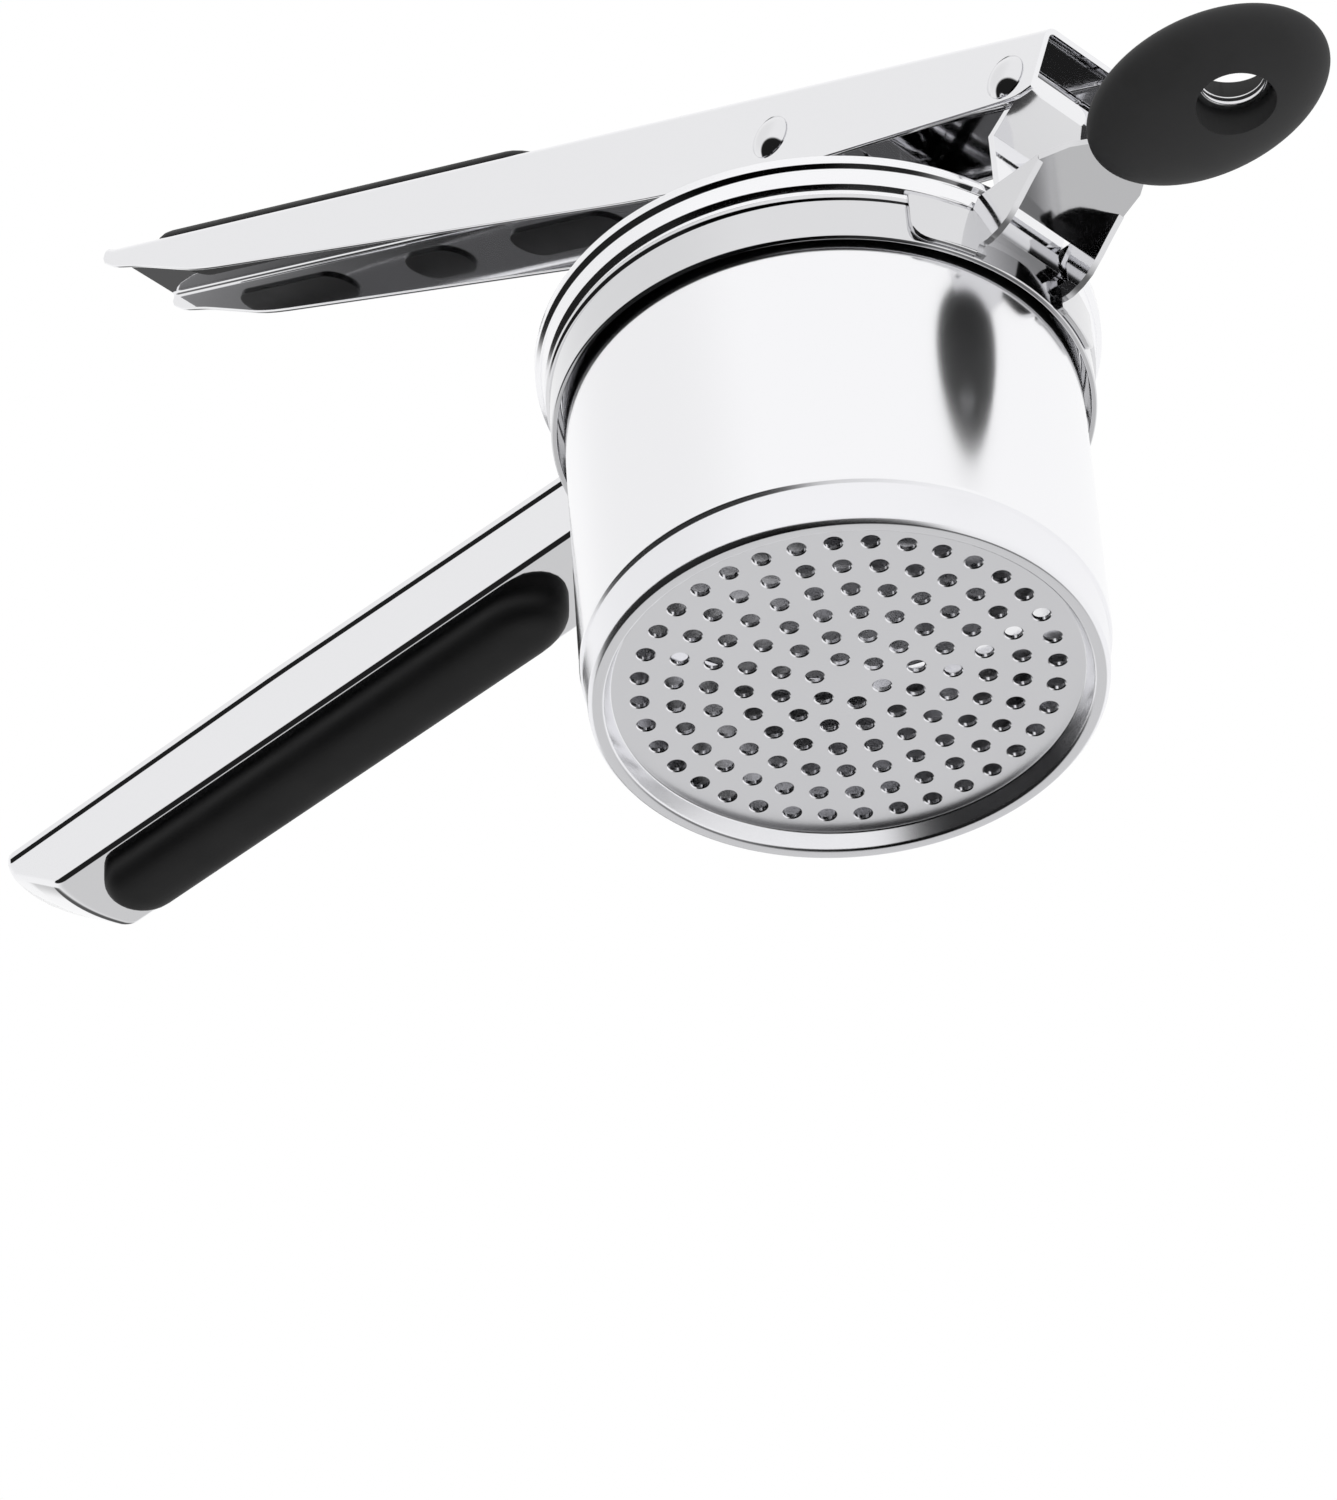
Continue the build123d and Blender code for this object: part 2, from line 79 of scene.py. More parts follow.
# ---------------------------------------------------------------- colours and nodes
def linear(code: str) -> tuple[float, float, float, float]:
    """Turn an sRGB hex colour into linear light.

    Args:
        code: Six hex digits, with or without a leading #.

    Returns:
        Red, green, blue and an alpha of one.
    """
    text = code.lstrip("#")
    parts = [int(text[i:i + 2], 16) / 255 for i in (0, 2, 4)]
    light = [c / 12.92 if c <= 0.04045 else ((c + 0.055) / 1.055) ** 2.4 for c in parts]
    return (light[0], light[1], light[2], 1.0)


def add_node(
    tree: bpy.types.NodeTree,
    kind: str,
    links: Optional[dict[str | int, object]] = None,
    **settings: object,
) -> bpy.types.Node:
    """Add one node with its settings and its inputs.

    Args:
        tree: Tree that gets the node.
        kind: Blender's name of the node type.
        links: Input name or number, to a value or to the socket that feeds it.
        settings: Attributes of the node itself.

    Returns:
        The new node.
    """
    node = tree.nodes.new(kind)
    for name, value in settings.items():
        setattr(node, name, value)
    for key, value in (links or {}).items():
        if isinstance(value, bpy.types.NodeSocket):
            tree.links.new(value, node.inputs[key])
        else:
            node.inputs[key].default_value = value
    return node


def start_material(
    name: str,
) -> tuple[bpy.types.Material, bpy.types.NodeTree, bpy.types.Node]:
    """Make an empty node material.

    Args:
        name: Name of the finish.

    Returns:
        The material, its tree and its output node.
    """
    material = bpy.data.materials.new(name)
    material.use_nodes = True
    tree = material.node_tree
    tree.nodes.clear()
    return material, tree, add_node(tree, "ShaderNodeOutputMaterial")


# ---------------------------------------------------------------- finishes
@dataclass(frozen=True)
class Steel:
    """Stainless 18/10 sheet, pressed and then polished on a wheel.

    Polishing leaves a mirror with a faint haze that changes from place to place and
    hairlines along the direction of the wheel. What it gives the eye is the room itself:
    the sheet is pale where the room is pale and black where the room is dark.
    """

    name: str
    colour: str = "F0F0F2"
    roughness: float = 0.045
    haze: float = 0.03           # how much rougher the hazy places are
    haze_mm: float = 24.0        # width of a hazy place
    line_mm: float = 0.5         # spacing of the hairlines, drawn coarser than real
    line_stretch: Triple = (0.04, 1.0, 1.0)     # hairlines run along the small number's axis
    line_bump: float = 0.006

    def build(self) -> bpy.types.Material:
        """Build the material.

        Returns:
            The finished material.
        """
        material, tree, output = start_material(self.name)
        place = add_node(tree, "ShaderNodeTexCoord").outputs["Object"]
        haze = add_node(
            tree, "ShaderNodeTexNoise",
            {"Vector": place, "Scale": 1 / (self.haze_mm * MM), "Detail": 3.0, "Roughness": 0.5},
        )
        rough = add_node(
            tree, "ShaderNodeMapRange",
            {"Value": haze.outputs["Fac"], "From Min": 0.35, "From Max": 0.7,
             "To Min": self.roughness, "To Max": self.roughness + self.haze},
        )
        lines_place = add_node(
            tree, "ShaderNodeMapping", {"Vector": place, "Scale": self.line_stretch},
        )
        lines = add_node(
            tree, "ShaderNodeTexNoise",
            {"Vector": lines_place.outputs["Vector"], "Scale": 1 / (self.line_mm * MM),
             "Detail": 2.0, "Roughness": 0.6},
        )
        bump = add_node(
            tree, "ShaderNodeBump",
            {"Height": lines.outputs["Fac"], "Strength": self.line_bump, "Distance": 0.05 * MM},
        )
        shader = add_node(
            tree, "ShaderNodeBsdfPrincipled",
            {"Base Color": linear(self.colour), "Metallic": 1.0,
             "Roughness": rough.outputs["Result"], "Normal": bump.outputs["Normal"]},
        )
        tree.links.new(shader.outputs["BSDF"], output.inputs["Surface"])
        return material


@dataclass(frozen=True)
class BlackPolymer:
    """Black plastic or thermoplastic rubber, injection moulded in an etched tool.

    It is thermoplastic rubber on the grips and nylon on the parts below them. The etched
    grain scatters the highlight, and handling leaves slightly paler patches.
    """

    name: str
    deep: str = "0D0D0E"
    pale: str = "161617"
    roughness: float = 0.55
    specular: float = 0.3
    grain_mm: float = 0.55       # etched grain, drawn coarser than real so that it shows
    grain_bump: float = 0.18
    patch_mm: float = 9.0

    def build(self) -> bpy.types.Material:
        """Build the material.

        Returns:
            The finished material.
        """
        material, tree, output = start_material(self.name)
        place = add_node(tree, "ShaderNodeTexCoord").outputs["Object"]
        patches = add_node(
            tree, "ShaderNodeTexNoise",
            {"Vector": place, "Scale": 1 / (self.patch_mm * MM), "Detail": 4.0, "Roughness": 0.6},
        )
        colour = add_node(
            tree, "ShaderNodeMix",
            {"Factor": patches.outputs["Fac"], 6: linear(self.deep), 7: linear(self.pale)},
            data_type="RGBA",
        )
        rough = add_node(
            tree, "ShaderNodeMapRange",
            {"Value": patches.outputs["Fac"], "From Min": 0.3, "From Max": 0.7,
             "To Min": self.roughness - 0.04, "To Max": self.roughness + 0.05},
        )
        grain = add_node(
            tree, "ShaderNodeTexNoise",
            {"Vector": place, "Scale": 1 / (self.grain_mm * MM), "Detail": 2.0, "Roughness": 0.55},
        )
        bump = add_node(
            tree, "ShaderNodeBump",
            {"Height": grain.outputs["Fac"], "Strength": self.grain_bump, "Distance": 0.06 * MM},
        )
        shader = add_node(
            tree, "ShaderNodeBsdfPrincipled",
            {"Base Color": colour.outputs[2], "Roughness": rough.outputs["Result"],
             "IOR": 1.5, "Specular IOR Level": self.specular, "Normal": bump.outputs["Normal"]},
        )
        tree.links.new(shader.outputs["BSDF"], output.inputs["Surface"])
        return material


@dataclass(frozen=True)
class StudioPaint:
    """Matt pale emulsion, rolled on the studio floor, with no gloss to catch the eye."""

    name: str = "matt_floor_paint"
    colour: str = "F2F2F2"
    grain_mm: float = 60.0

    def build(self) -> bpy.types.Material:
        """Build the material.

        Returns:
            The finished material.
        """
        material, tree, output = start_material(self.name)
        place = add_node(tree, "ShaderNodeTexCoord").outputs["Object"]
        grain = add_node(
            tree, "ShaderNodeTexNoise", {"Vector": place, "Scale": 1 / (self.grain_mm * MM)},
        )
        rough = add_node(
            tree, "ShaderNodeMapRange",
            {"Value": grain.outputs["Fac"], "To Min": 0.85, "To Max": 0.95},
        )
        shader = add_node(
            tree, "ShaderNodeBsdfPrincipled",
            {"Base Color": linear(self.colour), "Roughness": rough.outputs["Result"]},
        )
        tree.links.new(shader.outputs["BSDF"], output.inputs["Surface"])
        return material


class Finish(Enum):
    """Finishes of the object's pieces."""

    # Sheet polished on a wheel: a clear mirror with hairlines along the lever.
    SHEET = Steel("wheel_polished_steel")
    # Band rolled from thicker strip and polished less: a slightly darker, softer mirror.
    BAND = Steel("rolled_band_steel", colour="DCDCDE", roughness=0.06)
    # Cup spun on a former and rubbed upright: a satin that blurs the room.
    CUP = Steel(
        "satin_spun_steel", colour="F6F6F8", roughness=0.12, line_mm=0.4,
        line_stretch=(1.0, 1.0, 0.05), line_bump=0.03,
    )
    # Foot and underside brushed with grit: an even, pale grey with no mirror left in it.
    FOOT = Steel(
        "brushed_foot_steel", colour="F2F2F5", roughness=0.23, haze=0.04, line_mm=0.4,
        line_stretch=(1.0, 1.0, 0.05), line_bump=0.04,
    )
    # Rivets tumbled in a drum: bright, with fine marks that run no way in particular.
    RIVET = Steel(
        "tumbled_rivet_steel", colour="E6E6E8", roughness=0.05, line_stretch=(1.0, 1.0, 1.0),
    )
    # Moulded rubber of the two grips: deep black with a wide, dull highlight.
    SOFT = BlackPolymer("black_rubber_grip")
    # Moulded rubber of the knob: the grips' rubber with a paler base colour, which is painted light
    # for the room's light on the knob's face, and duller still.
    KNOB = BlackPolymer("knob_rubber_painted_light", deep="2A2A2A", pale="343435", roughness=0.62)
    # Glass-filled nylon below the rubber: blacker, finer in grain and a little glossier.
    HARD = BlackPolymer(
        "black_nylon_moulding", deep="0A0A0B", pale="111112", roughness=0.42, specular=0.4,
        grain_mm=0.35,
    )

    def material(self) -> bpy.types.Material:
        """Return the finish's material, and build it the first time."""
        made = bpy.data.materials.get(self.value.name)
        return made or self.value.build()


# ---------------------------------------------------------------- mesh helpers
def bend_corners(points: Sequence[tuple[float, ...]], steps: int = 5) -> list[Pair]:
    """Round the corners of a closed outline.

    Args:
        points: Corners as (a, b) or (a, b, radius).
        steps: Segments in each rounded corner.

    Returns:
        The outline with an arc in place of each corner that has a radius.
    """
    outline: list[Pair] = []
    count = len(points)
    for index, point in enumerate(points):
        here = Vector(point[:2])
        radius = point[2] if len(point) > 2 else 0.0
        before = Vector(points[index - 1][:2]) - here
        after = Vector(points[(index + 1) % count][:2]) - here
        half = before.angle(after) / 2
        if radius <= 0 or half > math.radians(89):      # no radius, or nearly straight on
            outline.append((here.x, here.y))
            continue
        reach = min(radius / math.tan(half), 0.49 * before.length, 0.49 * after.length)
        radius = reach * math.tan(half)
        to_start, to_end = before.normalized(), after.normalized()
        start, end = here + to_start * reach, here + to_end * reach
        centre = here + (to_start + to_end).normalized() * (radius / math.sin(half))
        first = math.atan2(start.y - centre.y, start.x - centre.x)
        turn = math.atan2(end.y - centre.y, end.x - centre.x) - first
        turn = (turn + math.pi) % (2 * math.pi) - math.pi
        for step in range(steps + 1):
            angle = first + turn * step / steps
            outline.append(
                (centre.x + radius * math.cos(angle), centre.y + radius * math.sin(angle))
            )
    return outline


def put_in_scene(name: str, mesh: bpy.types.Mesh) -> bpy.types.Object:
    """Put a mesh into the scene as an object at the origin.

    Args:
        name: Name of the object.
        mesh: Its mesh, in metres.

    Returns:
        The object.
    """
    obj = bpy.data.objects.new(name, mesh)
    bpy.context.scene.collection.objects.link(obj)
    return obj


def new_object(
    name: str, points: Sequence[Vector], faces: Sequence[Sequence[int]],
) -> bpy.types.Object:
    """Make a mesh object from points in millimetres.

    Args:
        name: Name of the object.
        points: Places in millimetres.
        faces: Corner numbers of each face.

    Returns:
        The object, merged and with its faces outwards.
    """
    mesh = bpy.data.meshes.new(name)
    mesh.from_pydata([tuple(p * MM) for p in points], [], [list(f) for f in faces])
    obj = put_in_scene(name, mesh)
    tidy_mesh(obj)
    return obj


def tidy_mesh(obj: bpy.types.Object, merge: float = MERGE) -> None:
    """Merge close points and turn every face outwards.

    Args:
        obj: Piece to work on.
        merge: Distance in millimetres below which points become one.
    """
    work = bmesh.new()
    work.from_mesh(obj.data)
    bmesh.ops.remove_doubles(work, verts=work.verts, dist=merge * MM)
    bmesh.ops.dissolve_degenerate(work, edges=work.edges, dist=MERGE / 2 * MM)
    bmesh.ops.recalc_face_normals(work, faces=work.faces)
    work.to_mesh(obj.data)
    work.free()


def smooth(obj: bpy.types.Object) -> None:
    """Shade a piece smoothly, with crisp edges where its faces turn sharply."""
    obj.data.polygons.foreach_set("use_smooth", [True] * len(obj.data.polygons))
    obj.data.set_sharp_from_angle(angle=math.radians(SHARP_DEG))


def settle(obj: bpy.types.Object) -> None:
    """Turn a piece's modifiers into a plain mesh.

    Args:
        obj: Piece to work on.
    """
    seen = obj.evaluated_get(bpy.context.evaluated_depsgraph_get())
    mesh = bpy.data.meshes.new_from_object(seen)
    obj.modifiers.clear()
    old = obj.data
    obj.data = mesh
    mesh.name = obj.name
    bpy.data.meshes.remove(old)


def soften_edges(
    obj: bpy.types.Object, width: float, steps: int = 2, above_deg: float = 40.0,
) -> None:
    """Round the edges of a piece that are sharper than an angle.

    Args:
        obj: Piece to work on.
        width: Width of the rounding in millimetres.
        steps: Segments across the rounding.
        above_deg: Edges that turn less than this are left alone.
    """
    rounding = obj.modifiers.new("edge_rounding", "BEVEL")
    rounding.width = width * MM
    rounding.segments = steps
    rounding.limit_method = "ANGLE"
    rounding.angle_limit = math.radians(above_deg)
    settle(obj)


def even_normals(obj: bpy.types.Object) -> None:
    """Let the large faces of a piece set its shading, so that flat sheet looks flat.

    Args:
        obj: Piece to work on.
    """
    smooth(obj)
    weighting = obj.modifiers.new("flat_sheet_normals", "WEIGHTED_NORMAL")
    weighting.weight = 100
    weighting.keep_sharp = True
    settle(obj)


def cut_away(obj: bpy.types.Object, tools: Sequence[bpy.types.Object]) -> None:
    """Cut closed shapes out of a piece and remove them.

    Args:
        obj: Piece to cut.
        tools: Closed shapes that are taken away.
    """
    for tool in tools:
        cut = obj.modifiers.new("cut", "BOOLEAN")
        cut.operation = "DIFFERENCE"
        cut.solver = "EXACT"
        cut.object = tool
        settle(obj)
        bpy.data.objects.remove(tool)


def loft(name: str, rings: Sequence[Ring], cap: bool = True) -> bpy.types.Object:
    """Skin a row of closed rings that have the same number of points.

    Args:
        name: Name of the object.
        rings: Rings of places in millimetres, in order.
        cap: Whether the two ends are closed.

    Returns:
        The object.
    """
    count = len(rings[0])
    points = [p for ring in rings for p in ring]
    faces: list[list[int]] = []
    for row in range(len(rings) - 1):
        low, high = row * count, (row + 1) * count
        for i in range(count):
            j = (i + 1) % count
            faces.append([low + i, low + j, high + j, high + i])
    if cap:
        faces.append(list(range(count))[::-1])
        faces.append([(len(rings) - 1) * count + i for i in range(count)])
    return new_object(name, points, faces)


def spin(
    name: str, outline: Sequence[Pair], segments: int, closed: bool = True,
) -> bpy.types.Object:
    """Turn an outline of (radius, height) about the Z axis.

    Args:
        name: Name of the object.
        outline: Places as (radius, height) in millimetres.
        segments: Segments in the whole turn.
        closed: Whether the last place joins the first.

    Returns:
        The object.
    """
    rows = len(outline)
    points: list[Vector] = []
    for step in range(segments):
        angle = 2 * math.pi * step / segments
        points += [Vector((r * math.cos(angle), r * math.sin(angle), z)) for r, z in outline]
    faces: list[list[int]] = []
    last = rows if closed else rows - 1
    for step in range(segments):
        here, there = step * rows, ((step + 1) % segments) * rows
        for i in range(last):
            j = (i + 1) % rows
            faces.append([here + i, here + j, there + j, there + i])
    return new_object(name, points, faces)


def transform(obj: bpy.types.Object, matrix: Matrix) -> None:
    """Move a piece's mesh by a matrix in metres, and leave the object at the origin."""
    obj.data.transform(matrix)


def slot_outline(half_length: float, half_width: float, steps: int = 14) -> list[Pair]:
    """Outline of a bar with half-round ends, centred on the origin.

    Args:
        half_length: Half of the length over the round ends.
        half_width: Half of the width, and the radius of the ends.
        steps: Segments in each round end.

    Returns:
        Places as (x, y), counter-clockwise.
    """
    straight = half_length - half_width
    outline: list[Pair] = []
    for end, start in ((straight, -90), (-straight, 90)):
        for step in range(steps + 1):
            angle = math.radians(start + 180 * step / steps)
            outline.append((end + half_width * math.cos(angle), half_width * math.sin(angle)))
    return outline


def copy_node(node: str) -> bpy.types.Object:
    """Copy a CAD node's mesh, merge it and join its flat faces.

    Args:
        node: Name of the node.

    Returns:
        The copy, as an object of its own.
    """
    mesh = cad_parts[node].data.copy()
    obj = put_in_scene(f"{node}_piece", mesh)
    work = bmesh.new()
    work.from_mesh(mesh)
    bmesh.ops.remove_doubles(work, verts=work.verts, dist=0.001 * MM)
    bmesh.ops.dissolve_limit(
        work, angle_limit=math.radians(0.6), verts=work.verts, edges=work.edges,
        use_dissolve_boundaries=False,
    )
    bmesh.ops.recalc_face_normals(work, faces=work.faces)
    work.to_mesh(mesh)
    work.free()
    return obj


def hand_over(
    obj: bpy.types.Object, finish: Finish, body: Body, nodes: Sequence[str] = (),
) -> bpy.types.Object:
    """Give a finished piece its material, its body and the nodes that it stands for.

    Args:
        obj: Finished piece.
        finish: Finish of its surface.
        body: Body that it moves with.
        nodes: CAD nodes that it replaces.

    Returns:
        The same piece.
    """
    obj.data.materials.clear()
    obj.data.materials.append(finish.material())
    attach(obj, body.value)
    if nodes:
        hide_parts(*nodes)
    log.info("%s: %d faces, on %s", obj.name, len(obj.data.polygons), body.value)
    return obj


def dress_node(node: str, finish: Finish) -> None:
    """Give a CAD node that stays in view its finish.

    Args:
        node: Name of the node.
        finish: Finish of its surface.
    """
    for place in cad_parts[node].material_slots:
        place.material = finish.material()
    log.info("%s: CAD shape kept", node)


def rounded_copy(
    node: str, width: float, finish: Finish, body: Body, steps: int = 2,
) -> bpy.types.Object:
    """Replace a CAD node by a copy with rounded edges.

    Args:
        node: Name of the node.
        width: Width of the rounding in millimetres.
        finish: Finish of its surface.
        body: Body that it moves with.
        steps: Segments across the rounding.

    Returns:
        The new piece.
    """
    obj = copy_node(node)
    soften_edges(obj, width, steps)
    even_normals(obj)
    return hand_over(obj, finish, body, [node])


def fuse(name: str, parts: Sequence[bpy.types.Object]) -> bpy.types.Object:
    """Put the meshes of several objects into one and remove the objects.

    Args:
        name: Name of the new object.
        parts: Objects at the origin.

    Returns:
        The new object.
    """
    work = bmesh.new()
    for part in parts:
        work.from_mesh(part.data)
    mesh = bpy.data.meshes.new(name)
    work.to_mesh(mesh)
    work.free()
    for part in parts:
        bpy.data.objects.remove(part)
    return put_in_scene(name, mesh)


def curved_plate(
    name: str, radii: Pair, heights: Pair, degrees: Pair, corner: float = 0.3,
    low_corner: float = 0.0,
) -> bpy.types.Object:
    """Sheet that follows an upright cylinder between two angles.

    Args:
        name: Name of the object.
        radii: Inner and outer radius.
        heights: Low and high edge.
        degrees: First and last angle about the Z axis.
        corner: Radius of its edges.
        low_corner: Radius of the low corner at the last angle, seen face on.

    Returns:
        The object.
    """
    low_r, high_r = radii
    low_z, high_z = heights
    span = math.radians(degrees[1] - degrees[0])
    length = abs(span) * high_r
    steps = max(12, int(length))

    def round_in(radius: float, left: float) -> float:
        """Return how far a corner of a radius pulls in, with a length left to the end."""
        past = max(0.0, radius - left)
        return radius - math.sqrt(max(0.0, radius ** 2 - past ** 2))

    rings: list[Ring] = []
    for step in range(steps + 1):
        along = length * math.sin(math.pi / 2 * step / steps)    # closer together at the end
        lift = round_in(low_corner, length - along)
        pull = min(round_in(corner, length - along), 0.8 * corner)
        low, high = low_z + lift + pull, high_z - pull
        section = bend_corners([
            (low_r + pull, low, corner), (high_r - pull, low, corner),
            (high_r - pull, high, corner), (low_r + pull, high, corner),
        ], 3)
        angle = math.radians(degrees[0]) + span * along / length
        rings.append([Vector((r * math.cos(angle), r * math.sin(angle), z)) for r, z in section])
    return loft(name, rings)


# ---------------------------------------------------------------- basket
@dataclass
class Basket:
    """Drawn cup with a stepped rim, a foot and a perforated plate."""

    radius: float = 44.0
    wall: float = 0.9
    plate_edge_r: float = 38.6
    plate_z: float = 3.0
    plate_t: float = 1.0
    hole_r: float = 1.5
    ring_step: float = 5.75
    hole_rings: int = 6
    holes_per_step: int = 6
    chamfer: float = 0.18
    foot_top: float = 8.3        # the brushed finish ends at this height
    segments: int = 192
    hole_segments: int = 24

    def outline(self) -> list[Pair]:
        """Outline of the cup from the plate's underside round the wall to its top face.

        Returns:
            Places as (radius, height).
        """
        inner = self.radius - self.wall
        foot = [
            (self.plate_edge_r, self.plate_z, 0.0), (39.2, self.plate_z, 0.6), (40.4, 0.0, 0.7),
            (42.3, 0.0, 0.5), (43.0, 0.8, 0.8), (43.45, 7.7, 0.5), (self.radius, 8.5, 0.9),
        ]
        rim_outside = [
            (self.radius, 69.3, 0.5), (45.9, 69.3, 0.3), (45.9, 70.4, 0.35), (46.9, 71.0, 0.4),
            (47.4, 73.9, 0.5), (48.3, 74.4, 0.3), (48.3, 76.3, 0.42),
        ]
        rim_inside = [
            (47.4, 76.3, 0.42), (47.2, 75.2, 0.4), (46.5, 74.8, 0.4), (46.0, 71.9, 0.4),
            (45.0, 71.3, 0.3), (45.0, 70.2, 0.3), (inner, 70.2, 0.6),
        ]
        floor_inside = [
            (inner, 5.4, 1.4), (42.2, 4.0, 0.8),
            (self.plate_edge_r, self.plate_z + self.plate_t, 0.0),
        ]
        return bend_corners(foot + rim_outside + rim_inside + floor_inside, 4)

    def plate_tree(self) -> bpy.types.GeometryNodeTree:
        """Build the node tree of the perforated plate.

        Returns:
            The tree, with the plate's sizes as named inputs.
        """
        tree = bpy.data.node_groups.new("perforated_plate", "GeometryNodeTree")
        tree.is_modifier = True
        face = tree.interface
        face.new_socket("Geometry", in_out="INPUT", socket_type="NodeSocketGeometry")
        for name in (
            "Plate radius", "Hole radius", "Ring step", "Thickness", "Underside", "Chamfer",
        ):
            face.new_socket(name, in_out="INPUT", socket_type="NodeSocketFloat")
        face.new_socket("Material", in_out="INPUT", socket_type="NodeSocketMaterial")
        face.new_socket("Geometry", in_out="OUTPUT", socket_type="NodeSocketGeometry")
        given = add_node(tree, "NodeGroupInput").outputs

        def sum_of(a: object, b: object, operation: str = "ADD") -> bpy.types.NodeSocket:
            """Return the socket of a sum, difference or product."""
            return add_node(tree, "ShaderNodeMath", {0: a, 1: b}, operation=operation).outputs[0]

        def raised(geometry: bpy.types.NodeSocket, height: object) -> bpy.types.NodeSocket:
            """Return the socket of a geometry lifted to a height."""
            lift = add_node(tree, "ShaderNodeCombineXYZ", {"Z": height}).outputs[0]
            return add_node(
                tree, "GeometryNodeTransform", {"Geometry": geometry, "Translation": lift},
            ).outputs[0]

        def joined(parts: Sequence[bpy.types.NodeSocket]) -> bpy.types.NodeSocket:
            """Return the socket of several geometries joined."""
            join = add_node(tree, "GeometryNodeJoinGeometry")
            for part in parts:
                tree.links.new(part, join.inputs[0])
            return join.outputs[0]

        def flipped(geometry: bpy.types.NodeSocket) -> bpy.types.NodeSocket:
            """Return the socket of a geometry turned inside out."""
            return add_node(tree, "GeometryNodeFlipFaces", {"Mesh": geometry}).outputs[0]

        def at_centres(shape: bpy.types.NodeSocket) -> bpy.types.NodeSocket:
            """Return the socket of a shape repeated at every hole's centre."""
            return add_node(
                tree, "GeometryNodeInstanceOnPoints", {"Points": centres, "Instance": shape},
            ).outputs[0]

        rings = []
        for ring in range(1, self.hole_rings + 1):
            circle = add_node(
                tree, "GeometryNodeMeshCircle",
                {"Vertices": ring * self.holes_per_step,
                 "Radius": sum_of(given["Ring step"], float(ring), "MULTIPLY")},
            )
            rings.append(circle.outputs[0])
        centres = joined(rings)
        hole_r, chamfer, low_z = given["Hole radius"], given["Chamfer"], given["Underside"]
        mouth_r = sum_of(hole_r, chamfer)
        mouth, edge = (
            add_node(
                tree, "GeometryNodeCurvePrimitiveCircle", {"Resolution": count, "Radius": radius},
            ).outputs[0]
            for count, radius in (
                (self.hole_segments, mouth_r), (self.segments, given["Plate radius"]),
            )
        )
        mouths = add_node(
            tree, "GeometryNodeRealizeInstances", {"Geometry": at_centres(mouth)},
        ).outputs[0]
        flat = add_node(tree, "GeometryNodeFillCurve", {0: joined([edge, mouths])}).outputs[0]
        top_z = sum_of(low_z, given["Thickness"])
        underside = flipped(raised(flat, low_z))
        bore_t = sum_of(given["Thickness"], sum_of(chamfer, 2.0, "MULTIPLY"), "SUBTRACT")
        walls = []
        for bottom_r, top_r, height, start_z in (
            (mouth_r, hole_r, chamfer, low_z),
            (hole_r, hole_r, bore_t, sum_of(low_z, chamfer)),
            (hole_r, mouth_r, chamfer, sum_of(top_z, chamfer, "SUBTRACT")),
        ):
            wall = add_node(
                tree, "GeometryNodeMeshCone",
                {"Vertices": self.hole_segments, "Radius Bottom": bottom_r,
                 "Radius Top": top_r, "Depth": height},
                fill_type="NONE",
            )
            walls.append(raised(wall.outputs[0], start_z))
        bores = at_centres(flipped(joined(walls)))
        real = add_node(
            tree, "GeometryNodeRealizeInstances",
            {"Geometry": joined([bores, raised(flat, top_z), underside])},
        )
        painted = add_node(
            tree, "GeometryNodeSetMaterial",
            {"Geometry": real.outputs[0], "Material": given["Material"]},
        )
        add_node(tree, "NodeGroupOutput", {"Geometry": painted.outputs[0]})
        return tree

    def plate(self) -> bpy.types.Object:
        """Make the perforated plate as a plain mesh.

        Returns:
            The plate, open at its outer edge.
        """
        obj = put_in_scene("plate", bpy.data.meshes.new("plate"))
        tree = self.plate_tree()
        holes = obj.modifiers.new("holes", "NODES")
        holes.node_group = tree
        sizes = {
            "Plate radius": self.plate_edge_r * MM, "Hole radius": self.hole_r * MM,
            "Ring step": self.ring_step * MM, "Thickness": self.plate_t * MM,
            "Underside": self.plate_z * MM, "Chamfer": self.chamfer * MM,
            "Material": Finish.CUP.material(),
        }
        for item in tree.interface.items_tree:
            if item.in_out == "INPUT" and item.name in sizes:
                holes[item.identifier] = sizes[item.name]
        settle(obj)
        return obj

    def build(self) -> None:
        """Build the basket and hand it over."""
        cup = spin("cup", self.outline(), self.segments, closed=False)
        basket = fuse("perforated_basket", [cup, self.plate()])
        tidy_mesh(basket)
        smooth(basket)
        hand_over(basket, Finish.CUP, Body.BASKET, ["basket"])
        basket.data.materials.append(Finish.FOOT.material())
        for face in basket.data.polygons:
            centre = face.center / MM
            below = centre.z < self.foot_top
            outside = math.hypot(centre.x, centre.y) > self.plate_edge_r
            underneath = face.normal.z < -0.5
            face.material_index = 1 if below and (outside or underneath) else 0


# ---------------------------------------------------------------- frame
@dataclass
class RingBand:
    """Rolled band that the basket hangs in, with a small lip along its top."""

    inner: float = 45.2
    outer: float = 46.2
    low: float = 59.8
    top: float = 69.0
    lip: float = 0.55            # how far the lip stands out
    lip_low: float = 0.9         # depth of the lip's face below the top
    lip_foot: float = 1.3        # depth at which the lip leaves the band
    segments: int = 192

    def build(self) -> None:
        """Build the band and hand it over."""
        lip_r = self.outer + self.lip
        outline = bend_corners([
            (self.inner, self.low, 0.3), (self.outer, self.low, 0.35),
            (self.outer, self.top - self.lip_foot, 0.5), (lip_r, self.top - self.lip_low, 0.3),
            (lip_r, self.top, 0.3), (self.inner, self.top, 0.3),
        ], 4)
        band = spin("hanging_ring", outline, self.segments)
        even_normals(band)
        hand_over(band, Finish.BAND, Body.FRAME, ["ring_band"])


